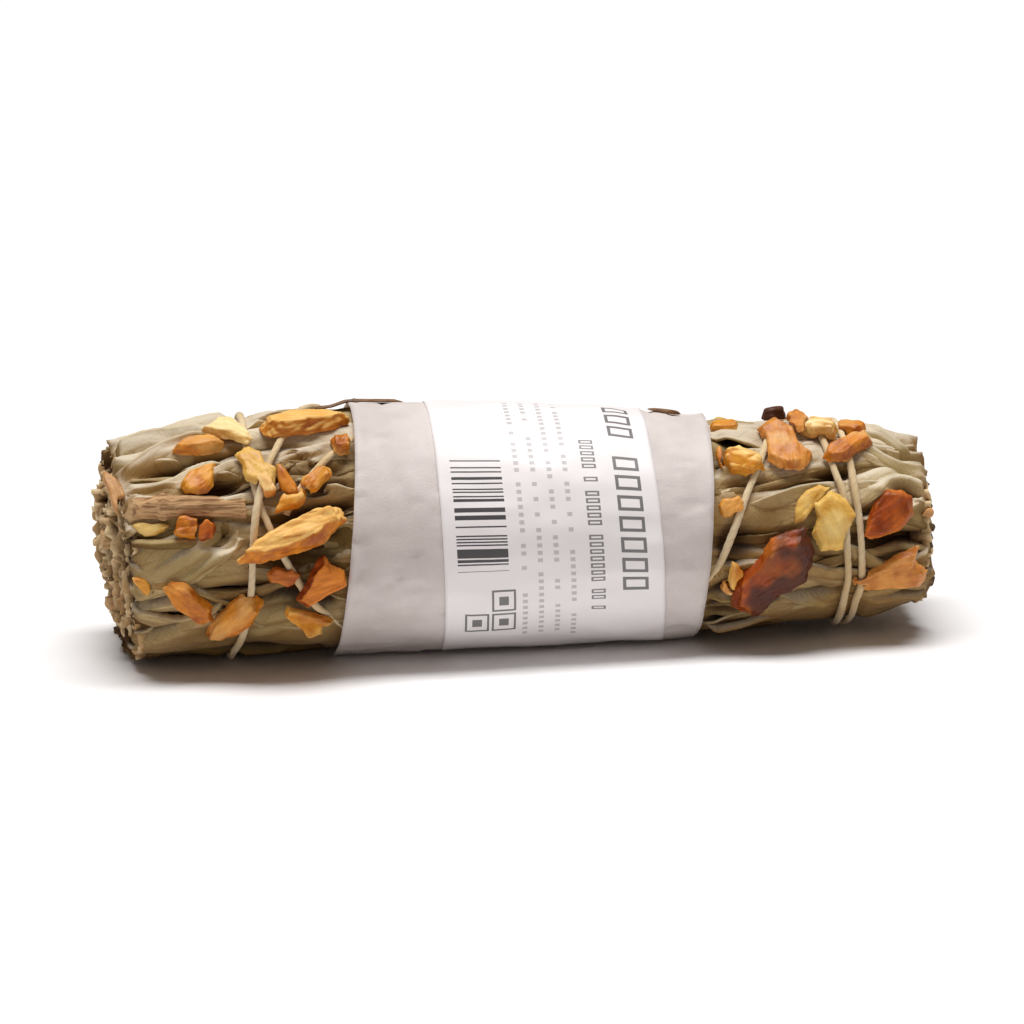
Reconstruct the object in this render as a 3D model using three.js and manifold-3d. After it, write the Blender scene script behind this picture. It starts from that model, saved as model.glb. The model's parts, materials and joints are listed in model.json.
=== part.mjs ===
// A small sage smudge stick: dried white sage leaves and twigs packed lengthwise, bound
// with cotton string, stuck over with dried garlic slivers and wrapped in a paper band.
// It lies along X on the underside of the band. Millimetres and degrees, +Z up.
import * as THREE from "three";
import { mergeVertices } from "three/addons/utils/BufferGeometryUtils.js";
import Module from "manifold-3d";

const wasm = await Module();
wasm.setup();

// Driving dimensions
const GAP = 0.3; // clearance between neighbouring pieces
const CORE_DEPTH = 1.5; // how far the packed core lies below the outermost leaves
const LEAF = 0.75; // thickness of a leaf blade
const STRING = 1.0; // diameter of the cotton string
const PAPER = 0.45; // thickness of the band
const PAPER_GAP = 0.25; // air between leaves and band
const LABEL = 0.2; // thickness of the label
const LABEL_GAP = 0.16; // glue line under the label
const FLOOR_LEAVES = 0.15; // lowest point of the leaves outside the band
const WELD = 0.001; // points closer than this are one point
const SIDES = 36; // facets round the band and its label
const UNDER_BAND = 1.4; // how far the leaves are pressed in under the band, to hold the string
const FRINGE = 3.6; // the stretch outside the band over which they are pressed in
const FLOOR = { x: 140, y: 60, depth: 10 }; // a block of the space under the leaves

// Outermost leaf surface: place along the stick, radius, height of the axis above the table
const PROFILE = [
  [-52, 12.1, 12.8],
  [-45.5, 12.9, 13.1],
  [-40.5, 13.45, 13.75],
  [-36, 13.8, 14.1],
  [-26, 14.4, 14.45],
  [-20, 14.5, 14.5],
  [-8, 14.4, 14.3],
  [10, 13.8, 13.8],
  [22, 12.9, 12.9],
  [34, 12.1, 13.0],
  [41, 11.6, 12.6],
  [45.5, 10.6, 12.7],
  [48, 9.65, 12.25],
  [52, 8.75, 11.75],
];

// Each end is cut across and bulges: x at its middle, bulge in y and z, slant across y, and
// how far it leans along the stick over its height
const ENDS = {
  left: { side: -1, x: -50.1, bulgeY: 0.0172, bulgeZ: 0.0172, slant: -0.1, lean: -0.05 },
  right: { side: 1, x: 50.2, bulgeY: 0.004, bulgeZ: 0.011, slant: 0, lean: 0 },
};

// Band and label: each edge is x = at + skew * sin(phi), with phi 0 in front and 90 on top
const BAND = { from: { at: -20.85, skew: 1.65 }, to: { at: 22.45, skew: 1.15 } };
const LABEL_EDGES = { from: { at: -9.75, skew: -0.4 }, to: { at: 16.65, skew: -0.7 } };
const LABEL_SPAN = { from: -65, to: 155 };
const SEAM = { from: 175, to: 215, rise: 0.4 }; // where the band's paper laps over itself

const rad = THREE.MathUtils.degToRad;
const deg = THREE.MathUtils.radToDeg;
const mix = THREE.MathUtils.lerp;
const ease = THREE.MathUtils.smoothstep;

// A repeatable draw between 0 and 1 for item number i and property number k.
function chance(i, k) {
  const wave = Math.sin(i * 12.9898 + k * 78.233 + 4.1) * 43758.5453;
  return wave - Math.floor(wave);
}

function profile(x, column) {
  const last = PROFILE.length - 1;
  let i = 0;
  while (i < last - 1 && x > PROFILE[i + 1][0]) i++;
  const share = (x - PROFILE[i][0]) / (PROFILE[i + 1][0] - PROFILE[i][0]);
  return mix(PROFILE[i][column], PROFILE[i + 1][column], share);
}

const radiusAt = (x) => profile(x, 1);
const axisAt = (x) => profile(x, 2);

// The point at x, turned phi round the axis from the front, r away from the axis.
function around(x, phi, r) {
  const y = -r * Math.cos(rad(phi));
  return new THREE.Vector3(x, y, axisAt(x) + r * Math.sin(rad(phi)));
}

// Where a cut end lies at a height h above the axis.
function endX(end, y, h) {
  const bulge = end.bulgeY * y * y + end.bulgeZ * h * h;
  return end.x - end.side * bulge + end.slant * y + end.lean * h;
}

function rimX(end, phi) {
  const r = radiusAt(end.x) - CORE_DEPTH / 2;
  return endX(end, -r * Math.cos(rad(phi)), r * Math.sin(rad(phi)));
}

const edgeX = (edge, phi) => edge.at + edge.skew * Math.sin(rad(phi));

// How far under the band a place is: 0 outside, 1 well inside.
function underBand(x, phi) {
  const inside = Math.min(x - edgeX(BAND.from, phi), edgeX(BAND.to, phi) - x);
  return ease(inside, -FRINGE, -1);
}

// Closed bodies

function closed(points, faces) {
  const geometry = new THREE.BufferGeometry().setFromPoints(points);
  let volume = 0;
  for (const [a, b, c] of faces)
    volume += points[a].dot(new THREE.Vector3().crossVectors(points[b], points[c]));
  geometry.setIndex(faces.flatMap(([a, b, c]) => (volume < 0 ? [a, c, b] : [a, b, c])));
  return geometry;
}

// A slab between two grids of points, front(u, v) and back(u, v), u 0..1 and v -1..1.
function slab(nu, nv, front, back) {
  const points = [];
  for (const face of [front, back])
    for (let i = 0; i <= nu; i++)
      for (let j = 0; j <= nv; j++) points.push(face(i / nu, (2 * j) / nv - 1));
  const at = (k, i, j) => (k * (nu + 1) + i) * (nv + 1) + j;
  const faces = [];
  for (let i = 0; i < nu; i++)
    for (let j = 0; j < nv; j++) {
      faces.push([at(0, i, j), at(0, i + 1, j), at(0, i + 1, j + 1)]);
      faces.push([at(0, i, j), at(0, i + 1, j + 1), at(0, i, j + 1)]);
      faces.push([at(1, i, j), at(1, i + 1, j + 1), at(1, i + 1, j)]);
      faces.push([at(1, i, j), at(1, i, j + 1), at(1, i + 1, j + 1)]);
    }
  const border = [];
  for (let i = 0; i < nu; i++) border.push([i, 0]);
  for (let j = 0; j < nv; j++) border.push([nu, j]);
  for (let i = nu; i > 0; i--) border.push([i, nv]);
  for (let j = nv; j > 0; j--) border.push([0, j]);
  border.forEach(([i, j], k) => {
    const [m, n] = border[(k + 1) % border.length];
    faces.push([at(0, i, j), at(1, i, j), at(1, m, n)], [at(0, i, j), at(1, m, n), at(0, m, n)]);
  });
  return closed(points, faces);
}

const middleOf = (ring) =>
  ring.reduce((sum, p) => sum.add(p), new THREE.Vector3()).divideScalar(ring.length);

// A body through a row of rings with as many points each, closed by a fan at either end.
function loft(rings, capA = middleOf(rings[0]), capB = middleOf(rings.at(-1))) {
  const n = rings[0].length;
  const points = [...rings.flat(), capA, capB];
  const faces = [];
  for (let i = 0; i < n; i++) {
    const j = (i + 1) % n;
    for (let k = 0; k + 1 < rings.length; k++) {
      faces.push([k * n + i, k * n + j, (k + 1) * n + j]);
      faces.push([k * n + i, (k + 1) * n + j, (k + 1) * n + i]);
    }
    const end = (rings.length - 1) * n;
    faces.push([points.length - 2, j, i], [points.length - 1, end + i, end + j]);
  }
  return closed(points, faces);
}

const steps = (count) => Array.from({ length: count }, (_, i) => i);

// A round rod of the given width through a row of points, with a ring of few sides at each.
function rod(points, width, sides) {
  const path = new THREE.CatmullRomCurve3(points);
  const rings = points.map((p, k) => {
    const along = path.getTangent(k / (points.length - 1));
    const out = new THREE.Vector3(0, p.y, p.z - axisAt(p.x)).normalize();
    const across = new THREE.Vector3().crossVectors(along, out).normalize();
    const up = new THREE.Vector3().crossVectors(across, along);
    return steps(sides).map((i) => {
      const turn = (2 * Math.PI * (i + 0.5)) / sides;
      return p
        .clone()
        .addScaledVector(up, (width / 2) * Math.cos(turn))
        .addScaledVector(across, (width / 2) * Math.sin(turn));
    });
  });
  return loft(rings);
}

// Joining and cutting

function solid(geometry) {
  const mesh = new wasm.Mesh({
    numProp: 3,
    vertProperties: new Float32Array(geometry.attributes.position.array),
    triVerts: new Uint32Array(geometry.index.array),
  });
  return new wasm.Manifold(mesh);
}

const joined = (solids) => solids.reduce((all, next) => all.add(next));

// The biggest closed body in a solid: loose scraps go, and sealed hollows are filled.
function mainBody(cut) {
  const bodies = cut.decompose();
  return bodies.reduce((best, next) => (next.volume() > best.volume() ? next : best));
}

function geometryOf(made) {
  const { numProp, vertProperties, triVerts } = made.getMesh();
  const points = [];
  for (let i = 0; i < vertProperties.length; i += numProp)
    points.push(new THREE.Vector3().fromArray(vertProperties, i));
  return new THREE.BufferGeometry().setFromPoints(points).setIndex([...triVerts]);
}

// Welds points that lie closer than WELD, then fills any hollow that this seals.
const welded = (made) => mainBody(solid(mergeVertices(geometryOf(made), WELD)));

function meshOf(name, made, look) {
  const mesh = new THREE.Mesh(geometryOf(made), look);
  mesh.name = name;
  return mesh;
}

const look = (color, roughness) =>
  new THREE.MeshStandardMaterial({ color, roughness, metalness: 0 });
const SAGE = look(0x9c9779, 0.92);
const TWIG = look(0x8b745e, 0.85);
const COTTON = look(0xd9cba6, 0.9);
const BAND_PAPER = look(0xbdb6bd, 0.8);
const LABEL_PAPER = look(0xdfdce2, 0.6);
const GARLIC = {
  amber: look(0xc9792b, 0.45),
  gold: look(0xd59a45, 0.45),
  straw: look(0xd6b36a, 0.5),
  peach: look(0xc98a58, 0.5),
  rust: look(0x96401a, 0.4),
  cream: look(0xdcc090, 0.55),
  umber: look(0x5f3018, 0.45),
};

// Twigs

// The twig in front: x and phi along it. It lies half sunk in the leaves and tapers a little.
const FRONT_TWIG = {
  route: [
    [-47.6, 37.2],
    [-43.5, 34.5],
    [-39.5, 32.2],
    [-36, 30.5],
    [-32.9, 29],
  ],
  width: 2.9,
  taper: 0.1,
  stand: 0.15,
  knobs: 0.06,
  sides: 9,
};

function frontTwig(grow) {
  const { route, width, taper, stand, knobs, sides } = FRONT_TWIG;
  const points = route.map(([x, phi]) => around(x, phi, radiusAt(x) + stand));
  const rings = points.map((p, k) => {
    const half = (width - taper * k) / 2 + grow;
    const reach = k === 0 ? -grow : k === points.length - 1 ? grow : 0;
    const out = new THREE.Vector3(0, p.y, p.z - axisAt(p.x)).normalize();
    const across = new THREE.Vector3(0, -out.z, out.y);
    return steps(sides).map((i) => {
      const turn = (2 * Math.PI * i) / sides;
      const knot = 1 + knobs * Math.cos(3 * turn + k);
      return new THREE.Vector3(p.x + reach, p.y, p.z)
        .addScaledVector(out, half * knot * Math.cos(turn))
        .addScaledVector(across, half * knot * Math.sin(turn));
    });
  });
  return solid(loft(rings));
}

// Inner twigs run the whole length: y and height from the axis at the left and right end
const INNER_REACH = 50.2;
const INNER_BOW = 0.8;
const INNER_TWIGS = [
  { left: [-3.4, 2.6], right: [-2.2, 3.2], width: 2.6 },
  { left: [4.2, -1.2], right: [3.0, -2.0], width: 2.2 },
  { left: [-1.6, -5.6], right: [-3.6, -3.4], width: 1.9 },
];

function innerTwig({ left, right, width }, grow) {
  const reach = INNER_REACH + grow * 2;
  const points = [0, 0.33, 0.66, 1].map((share) => {
    const x = mix(-reach, reach, share);
    const bow = INNER_BOW * Math.sin(Math.PI * share);
    return new THREE.Vector3(
      x,
      mix(left[0], right[0], share) + bow,
      axisAt(x) + mix(left[1], right[1], share),
    );
  });
  return solid(rod(points, width + 2 * grow, 7));
}

// Leaves. phi is where a leaf leaves its end, drift how far it turns on its way to the tip,
// reach its length. It lies lift above the packed surface, leans out at one long edge and is
// cupped across. Its edges wander by MEANDER, its face is waved by WAVE, its tip dips by DIP.
const MEANDER = 1.4;
const WAVE = 0.2;
const DIP = 1.6;
const LEAF_PANEL = 7.5; // length of the flat stretches that a blade is made of
const LEAVES = {
  left: [
    { phi: -58, drift: 20, reach: 41, width: 10.5, lift: -0.15, lean: 0.75, cup: 0.2 },
    { phi: -34, drift: 4, reach: 30, width: 7.5, lift: -0.5, lean: -0.6, cup: 0.4 },
    { phi: -22, drift: -2, reach: 14, width: 4.2, lift: 0.0, lean: 0.5, cup: 0.5 },
    { phi: 3, drift: 8, reach: 15, width: 7.0, lift: 0.1, lean: -0.65, cup: 0.9 },
    { phi: -4, drift: 16, reach: 36, width: 11.0, lift: -0.35, lean: 0.3, cup: -0.2 },
    { phi: 18, drift: 18, reach: 33, width: 7.5, lift: -0.5, lean: 0.6, cup: 0.3 },
    { phi: 43, drift: 8, reach: 13, width: 5.4, lift: 0.1, lean: 0.55, cup: 0.4 },
    { phi: 54, drift: 0, reach: 34, width: 6.5, lift: -0.3, lean: -0.6, cup: 0.6 },
    { phi: 66, drift: 12, reach: 17, width: 5.0, lift: 0.15, lean: 0.5, cup: 0.9 },
    { phi: 76, drift: -6, reach: 38, width: 8.0, lift: -0.3, lean: 0.5, cup: 0.4 },
    { phi: 92, drift: 8, reach: 24, width: 6.4, lift: 0.1, lean: -0.6, cup: 0.5 },
  ],
  right: [
    { phi: -62, drift: 2, reach: 36, width: 7.5, lift: -0.25, lean: 0.6, cup: 0.3 },
    { phi: -44, drift: 4, reach: 33, width: 6.0, lift: -0.1, lean: 0.6, cup: 0.3 },
    { phi: -27, drift: 6, reach: 35, width: 6.0, lift: -0.1, lean: 0.55, cup: 0.4 },
    { phi: -8, drift: 2, reach: 30, width: 5.5, lift: -0.3, lean: -0.4, cup: 0.3 },
    { phi: 14, drift: 12, reach: 36, width: 9.5, lift: -0.15, lean: 0.5, cup: 0.2 },
    { phi: 38, drift: -6, reach: 15, width: 6.2, lift: 0.15, lean: -0.55, cup: 0.8 },
    { phi: 50, drift: -8, reach: 32, width: 7.0, lift: -0.3, lean: 0.6, cup: 0.4 },
    { phi: 64, drift: -2, reach: 14, width: 4.6, lift: 0.15, lean: 0.5, cup: 0.6 },
    { phi: 76, drift: 2, reach: 33, width: 7.5, lift: -0.3, lean: -0.5, cup: 0.3 },
    { phi: 90, drift: 4, reach: 20, width: 5.6, lift: 0.1, lean: 0.5, cup: 0.5 },
  ],
};

// The leaves that the rule adds behind and underneath, from one side of the seen ones on.
const HIDDEN_LEAVES = { count: 7, from: 106, to: 284 };

function ruledLeaves(end) {
  return steps(HIDDEN_LEAVES.count).map((i) => {
    const draw = (k) => chance(i + 20 * (end.side + 2), k);
    const slot = (i + 0.3 + 0.4 * draw(1)) / HIDDEN_LEAVES.count;
    const short = i % 3 === 1;
    return {
      phi: mix(HIDDEN_LEAVES.from, HIDDEN_LEAVES.to, slot),
      drift: mix(-10, 10, draw(2)),
      reach: short ? mix(14, 20, draw(3)) : mix(31, 33, draw(3)),
      width: short ? mix(5.4, 7.2, draw(4)) : mix(9, 11, draw(4)),
      lift: short ? 0.1 : mix(-0.45, -0.15, draw(5)),
      lean: (draw(6) < 0.5 ? -1 : 1) * mix(0.45, 0.65, draw(7)),
      cup: mix(0.2, 0.7, draw(8)),
    };
  });
}

function leafBlade(leaf, number, end) {
  const phase = 6.3 * chance(number, 9);
  const place = (u, v) => {
    const cut = rimX(end, leaf.phi) + end.side * mix(-0.3, 0.45, chance(number, 10));
    const x = cut - end.side * leaf.reach * u;
    const taper = mix(0.86, 1, ease(u, 0, 0.3)) * (1 - 0.8 * ease(u, 0.5, 1) ** 2);
    const across = (v * leaf.width * taper) / 2 + MEANDER * Math.sin(5.2 * u + phase);
    const phi = leaf.phi + leaf.drift * u + deg(across / radiusAt(x));
    const dip = DIP * ease(u, 0.8, 1) * (1 - underBand(x, phi));
    const wave = WAVE * Math.sin(7 * u + phase + 1.5 * v);
    const cupped = leaf.cup * (0.32 - 0.8 * v * v);
    const stand = leaf.lift + leaf.lean * v + cupped + wave - WAVE - dip;
    return { x, phi, stand, free: ease(v * Math.sign(leaf.lean), 0.2, 1) };
  };
  const front = (u, v) => {
    const { x, phi, stand } = place(u, v);
    return around(x, phi, radiusAt(x) + stand);
  };
  const back = (u, v) => {
    const { x, phi, stand, free } = place(u, v);
    const root = Math.min(-CORE_DEPTH - 0.5, stand - LEAF);
    return around(x, phi, radiusAt(x) + mix(root, stand - LEAF, free));
  };
  return solid(slab(Math.ceil(leaf.reach / LEAF_PANEL), 2, front, back));
}

// Crumpled leaf edges that stand out of a cut end: rings of short wavy ribbons.
const RIBBON_ROWS = [
  { radius: 0.16, count: 2, span: 150 },
  { radius: 0.38, count: 3, span: 108 },
  { radius: 0.6, count: 3, span: 104 },
  { radius: 0.81, count: 4, span: 80 },
];
const RIBBON_SINK = 3.5;

function ribbons(end) {
  const reach = radiusAt(end.x);
  return RIBBON_ROWS.flatMap((row, r) =>
    steps(row.count).map((i) => {
      const number = 40 * (end.side + 2) + 10 * r + i;
      const start = (360 / row.count) * i + 60 * chance(number, 1);
      const out = mix(-0.5, 0.6, chance(number, 2));
      const waves = 3.2 + 2 * chance(number, 3);
      const edge = (side) => (u, v) => {
        const turn = start + row.span * u;
        const swell = 0.055 * Math.sin(waves * 2 * Math.PI * u + 5 * chance(number, 4));
        const radius = reach * (row.radius + 0.05 * u + swell) + side * (LEAF / 2);
        const y = -radius * Math.cos(rad(turn));
        const h = radius * Math.sin(rad(turn));
        const rag = out + 0.35 * Math.sin(11 * u + number);
        const x = endX(end, y, h) + end.side * (v > 0 ? rag : -RIBBON_SINK);
        return new THREE.Vector3(x, y, axisAt(end.x) + h);
      };
      return solid(slab(6, 1, edge(1), edge(-1)));
    }),
  );
}

// The packed core under the outer leaves, from one cut end to the other.
const CORE = {
  stations: [-49, -44, -36, -26, -14, 0, 10, 22, 34, 41, 45.5, 48.6],
  sides: 24,
  recess: 1.1, // how far its ends lie inside the cut
};

function core() {
  const last = CORE.stations.length - 1;
  const rings = CORE.stations.map((x, k) => {
    const end = k === 0 ? ENDS.left : k === last ? ENDS.right : null;
    return steps(CORE.sides).map((i) => {
      const phi = (360 / CORE.sides) * i;
      const p = around(x, phi, radiusAt(x) - CORE_DEPTH);
      if (end) p.x = endX(end, p.y, p.z - axisAt(x)) - end.side * CORE.recess;
      return p;
    });
  });
  const cap = (end) => new THREE.Vector3(end.x - end.side * CORE.recess, 0, axisAt(end.x));
  return solid(loft(rings, cap(ENDS.left), cap(ENDS.right)));
}

// String. One route: x and the turn round the axis, counted on from turn to turn, with the
// height that a crossing adds. Both ends are tucked under, one by the front V, one by the band.
const ROUTE = [
  [-28.3, 24, -1.2], [-27.2, 31, -0.4], [-25.8, 37.4, 0], [-22.2, 53, 0], [-19, 66, 0],
  [-14, 110, 0], [-9, 180, 0], [-10, 240, 0], [-16, 294, 0], [-20.5, 314, 0],
  [-23.5, 331, 0], [-25.6, 341, 0], [-28.5, 362, 0], [-30.2, 377.6, 0], [-31.3, 390, 0],
  [-32.2, 410, 0], [-32.3, 435, 0], [-32.3, 460, 0], [-32.3, 540, 0], [-33.4, 600, 0],
  [-34.6, 645, 0], [-34.5, 663, 0], [-33.7, 676, 0], [-32.6, 708, 0], [-32.4, 722, 0],
  [-32.2, 735, 0.3], [-31.7, 747, 0.85], [-30.8, 759, 0.85], [-29.5, 772, 0.3], [-28.3, 782, 0],
  [-25.5, 810, 0], [-21.5, 840, 0], [-12, 890, 0], [0, 950, 0], [12, 1010, 0],
  [19.5, 1048, 0], [23.6, 1072.8, 0], [24.7, 1085.8, 0], [25.9, 1098.6, 0], [27.1, 1111.5, 0],
  [28.3, 1121.7, 0], [30, 1140, 0], [32.5, 1170, 0], [36, 1260, 0], [39, 1320, 0],
  [40.2, 1383.5, 0], [40.3, 1403, 0], [40.9, 1415, 0], [40.7, 1440.5, 0], [40.5, 1457.8, 0],
  [40.2, 1472.5, 0], [40, 1491.7, 0], [39.5, 1530, 0], [38.9, 1620, 0], [38.6, 1680, 0],
  [38.7, 1745, 0], [38.9, 1770, 0], [39.2, 1779.5, 0], [38.9, 1802.6, 0], [38.7, 1833, 0],
  [38.2, 1839.6, 0], [37.7, 1851, 0], [36.5, 1890, 0], [32, 1950, 0], [24, 2000, 0],
  [17, 2040, -1.2],
];
const STRING_STEP = 22.5;
const STRING_BREAKS = [400, 760, 1290]; // turns where one tube hands over to the next
const STRING_LAP = 6; // how far the next tube starts back inside the one before
const STRING_STAND = { free: 0.4, pressed: -0.6 }; // its middle above the leaves, and under the band

function routeAt(turn) {
  let i = 0;
  while (i < ROUTE.length - 2 && turn > ROUTE[i + 1][1]) i++;
  const [a, b] = [ROUTE[i], ROUTE[i + 1]];
  const share = (turn - a[1]) / (b[1] - a[1]);
  const x = mix(a[0], b[0], share);
  const hidden = underBand(x, turn);
  const stand = mix(STRING_STAND.free, STRING_STAND.pressed, hidden) + mix(a[2], b[2], share);
  const p = around(x, turn, radiusAt(x) + stand);
  p.z = Math.max(p.z, STRING / 2 + mix(FLOOR_LEAVES, PAPER + GAP, hidden));
  return p;
}

function cottonString(grow, sides = 6) {
  const ends = [ROUTE[0][1], ...STRING_BREAKS, ROUTE.at(-1)[1]];
  const tubes = STRING_BREAKS.concat(0).map((_, k) => {
    const from = ends[k] - (k > 0 ? STRING_LAP : 0);
    const count = Math.round((ends[k + 1] - from) / STRING_STEP);
    const points = steps(count + 1).map((i) => routeAt(mix(from, ends[k + 1], i / count)));
    return solid(rod(points, STRING + 2 * grow, sides));
  });
  return joined(tubes);
}

// Paper

// A tube of the band's section, out beyond the leaves by the given amount. It is flat
// underneath, at the height floor, and overrun is the share of its length that it adds.
const BAND_SHARES = [0, 1 / 3, 2 / 3, 1]; // where the rings lie between the band's edges

function bandTube(out, floor, overrun) {
  const rings = BAND_SHARES.map((place) => {
    const share = mix(-overrun, 1 + overrun, place);
    return steps(SIDES).map((i) => {
      const phi = (360 / SIDES) * (i + 0.5);
      const x = mix(edgeX(BAND.from, phi), edgeX(BAND.to, phi), share);
      const p = around(x, phi, radiusAt(x) + out);
      p.z = Math.max(p.z, floor);
      return p;
    });
  });
  return solid(loft(rings));
}

function paperBand(grow) {
  const outer = bandTube(PAPER_GAP + PAPER + grow, -grow, grow / 40);
  const inner = bandTube(PAPER_GAP - grow, PAPER + grow, 0.1);
  const flap = wrap(SEAM, BAND, BAND_SHARES, (u) => {
    const rise = SEAM.rise * ease(u, 0, 0.9);
    return [PAPER_GAP + PAPER + rise + grow, PAPER_GAP + PAPER / 2];
  });
  return outer.subtract(inner).add(flap);
}

// A patch that follows the band from one turn to another, between two distances. It bends
// where the band's own rings lie: shares says where these are between the patch's edges.
function wrap(span, edges, shares, distances) {
  const count = Math.round(((span.to - span.from) * SIDES) / 360);
  const face = (k) => (u, v) => {
    const phi = mix(span.from, span.to, u);
    const share = shares[Math.round(((v + 1) / 2) * (shares.length - 1))];
    const x = mix(edgeX(edges.from, phi), edgeX(edges.to, phi), share);
    return around(x, phi, radiusAt(x) + distances(u)[k]);
  };
  return solid(slab(count, shares.length - 1, face(0), face(1)));
}

const LABEL_SHARES = [0, 0.127, 0.674, 1]; // its edges, and the band's two rings between them

function label() {
  const inside = PAPER_GAP + PAPER + LABEL_GAP;
  return wrap(LABEL_SPAN, LABEL_EDGES, LABEL_SHARES, () => [inside + LABEL, inside]);
}

// Garlic. Outlines run round a sliver, along it and across it, from -1 to 1.
const OUTLINES = {
  drop: [
    [-1, 0], [-0.45, 0.42], [0.1, 0.85], [0.6, 0.9], [0.95, 0.4],
    [1, -0.2], [0.7, -0.8], [0.1, -0.95], [-0.45, -0.5],
  ],
  crescent: [
    [-1, -0.4], [-0.7, 0.3], [-0.2, 0.85], [0.3, 0.9], [0.75, 0.5],
    [1, -0.3], [0.6, -0.62], [0, -0.55], [-0.55, -0.65],
  ],
  wedge: [
    [-1, -0.25], [-0.6, 0.35], [0, 0.7], [0.6, 0.95], [1, 0.6],
    [0.96, -0.2], [0.5, -0.75], [-0.1, -0.85], [-0.65, -0.65],
  ],
  shard: [
    [-1, 0.15], [-0.55, 0.8], [0.05, 0.65], [0.5, 1], [1, 0.4],
    [0.85, -0.4], [0.35, -1], [-0.3, -0.7], [-0.8, -0.75],
  ],
  fan: [
    [-1, 0.3], [-0.3, 0.55], [0.4, 0.9], [0.95, 1], [0.78, 0.3],
    [1, -0.35], [0.7, -1], [0, -0.65], [-0.85, -0.4],
  ],
  kidney: [
    [-1, 0.3], [-0.6, 0.9], [0, 0.8], [0.55, 0.95], [1, 0.35],
    [0.8, -0.5], [0.2, -0.6], [-0.35, -0.9], [-0.9, -0.5],
  ],
  block: [
    [-1, -0.75], [-0.94, 0.1], [-0.9, 0.9], [-0.1, 0.97], [0.9, 0.85],
    [1, 0], [0.85, -0.9], [0.3, -0.97], [-0.4, -0.93],
  ],
};

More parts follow.
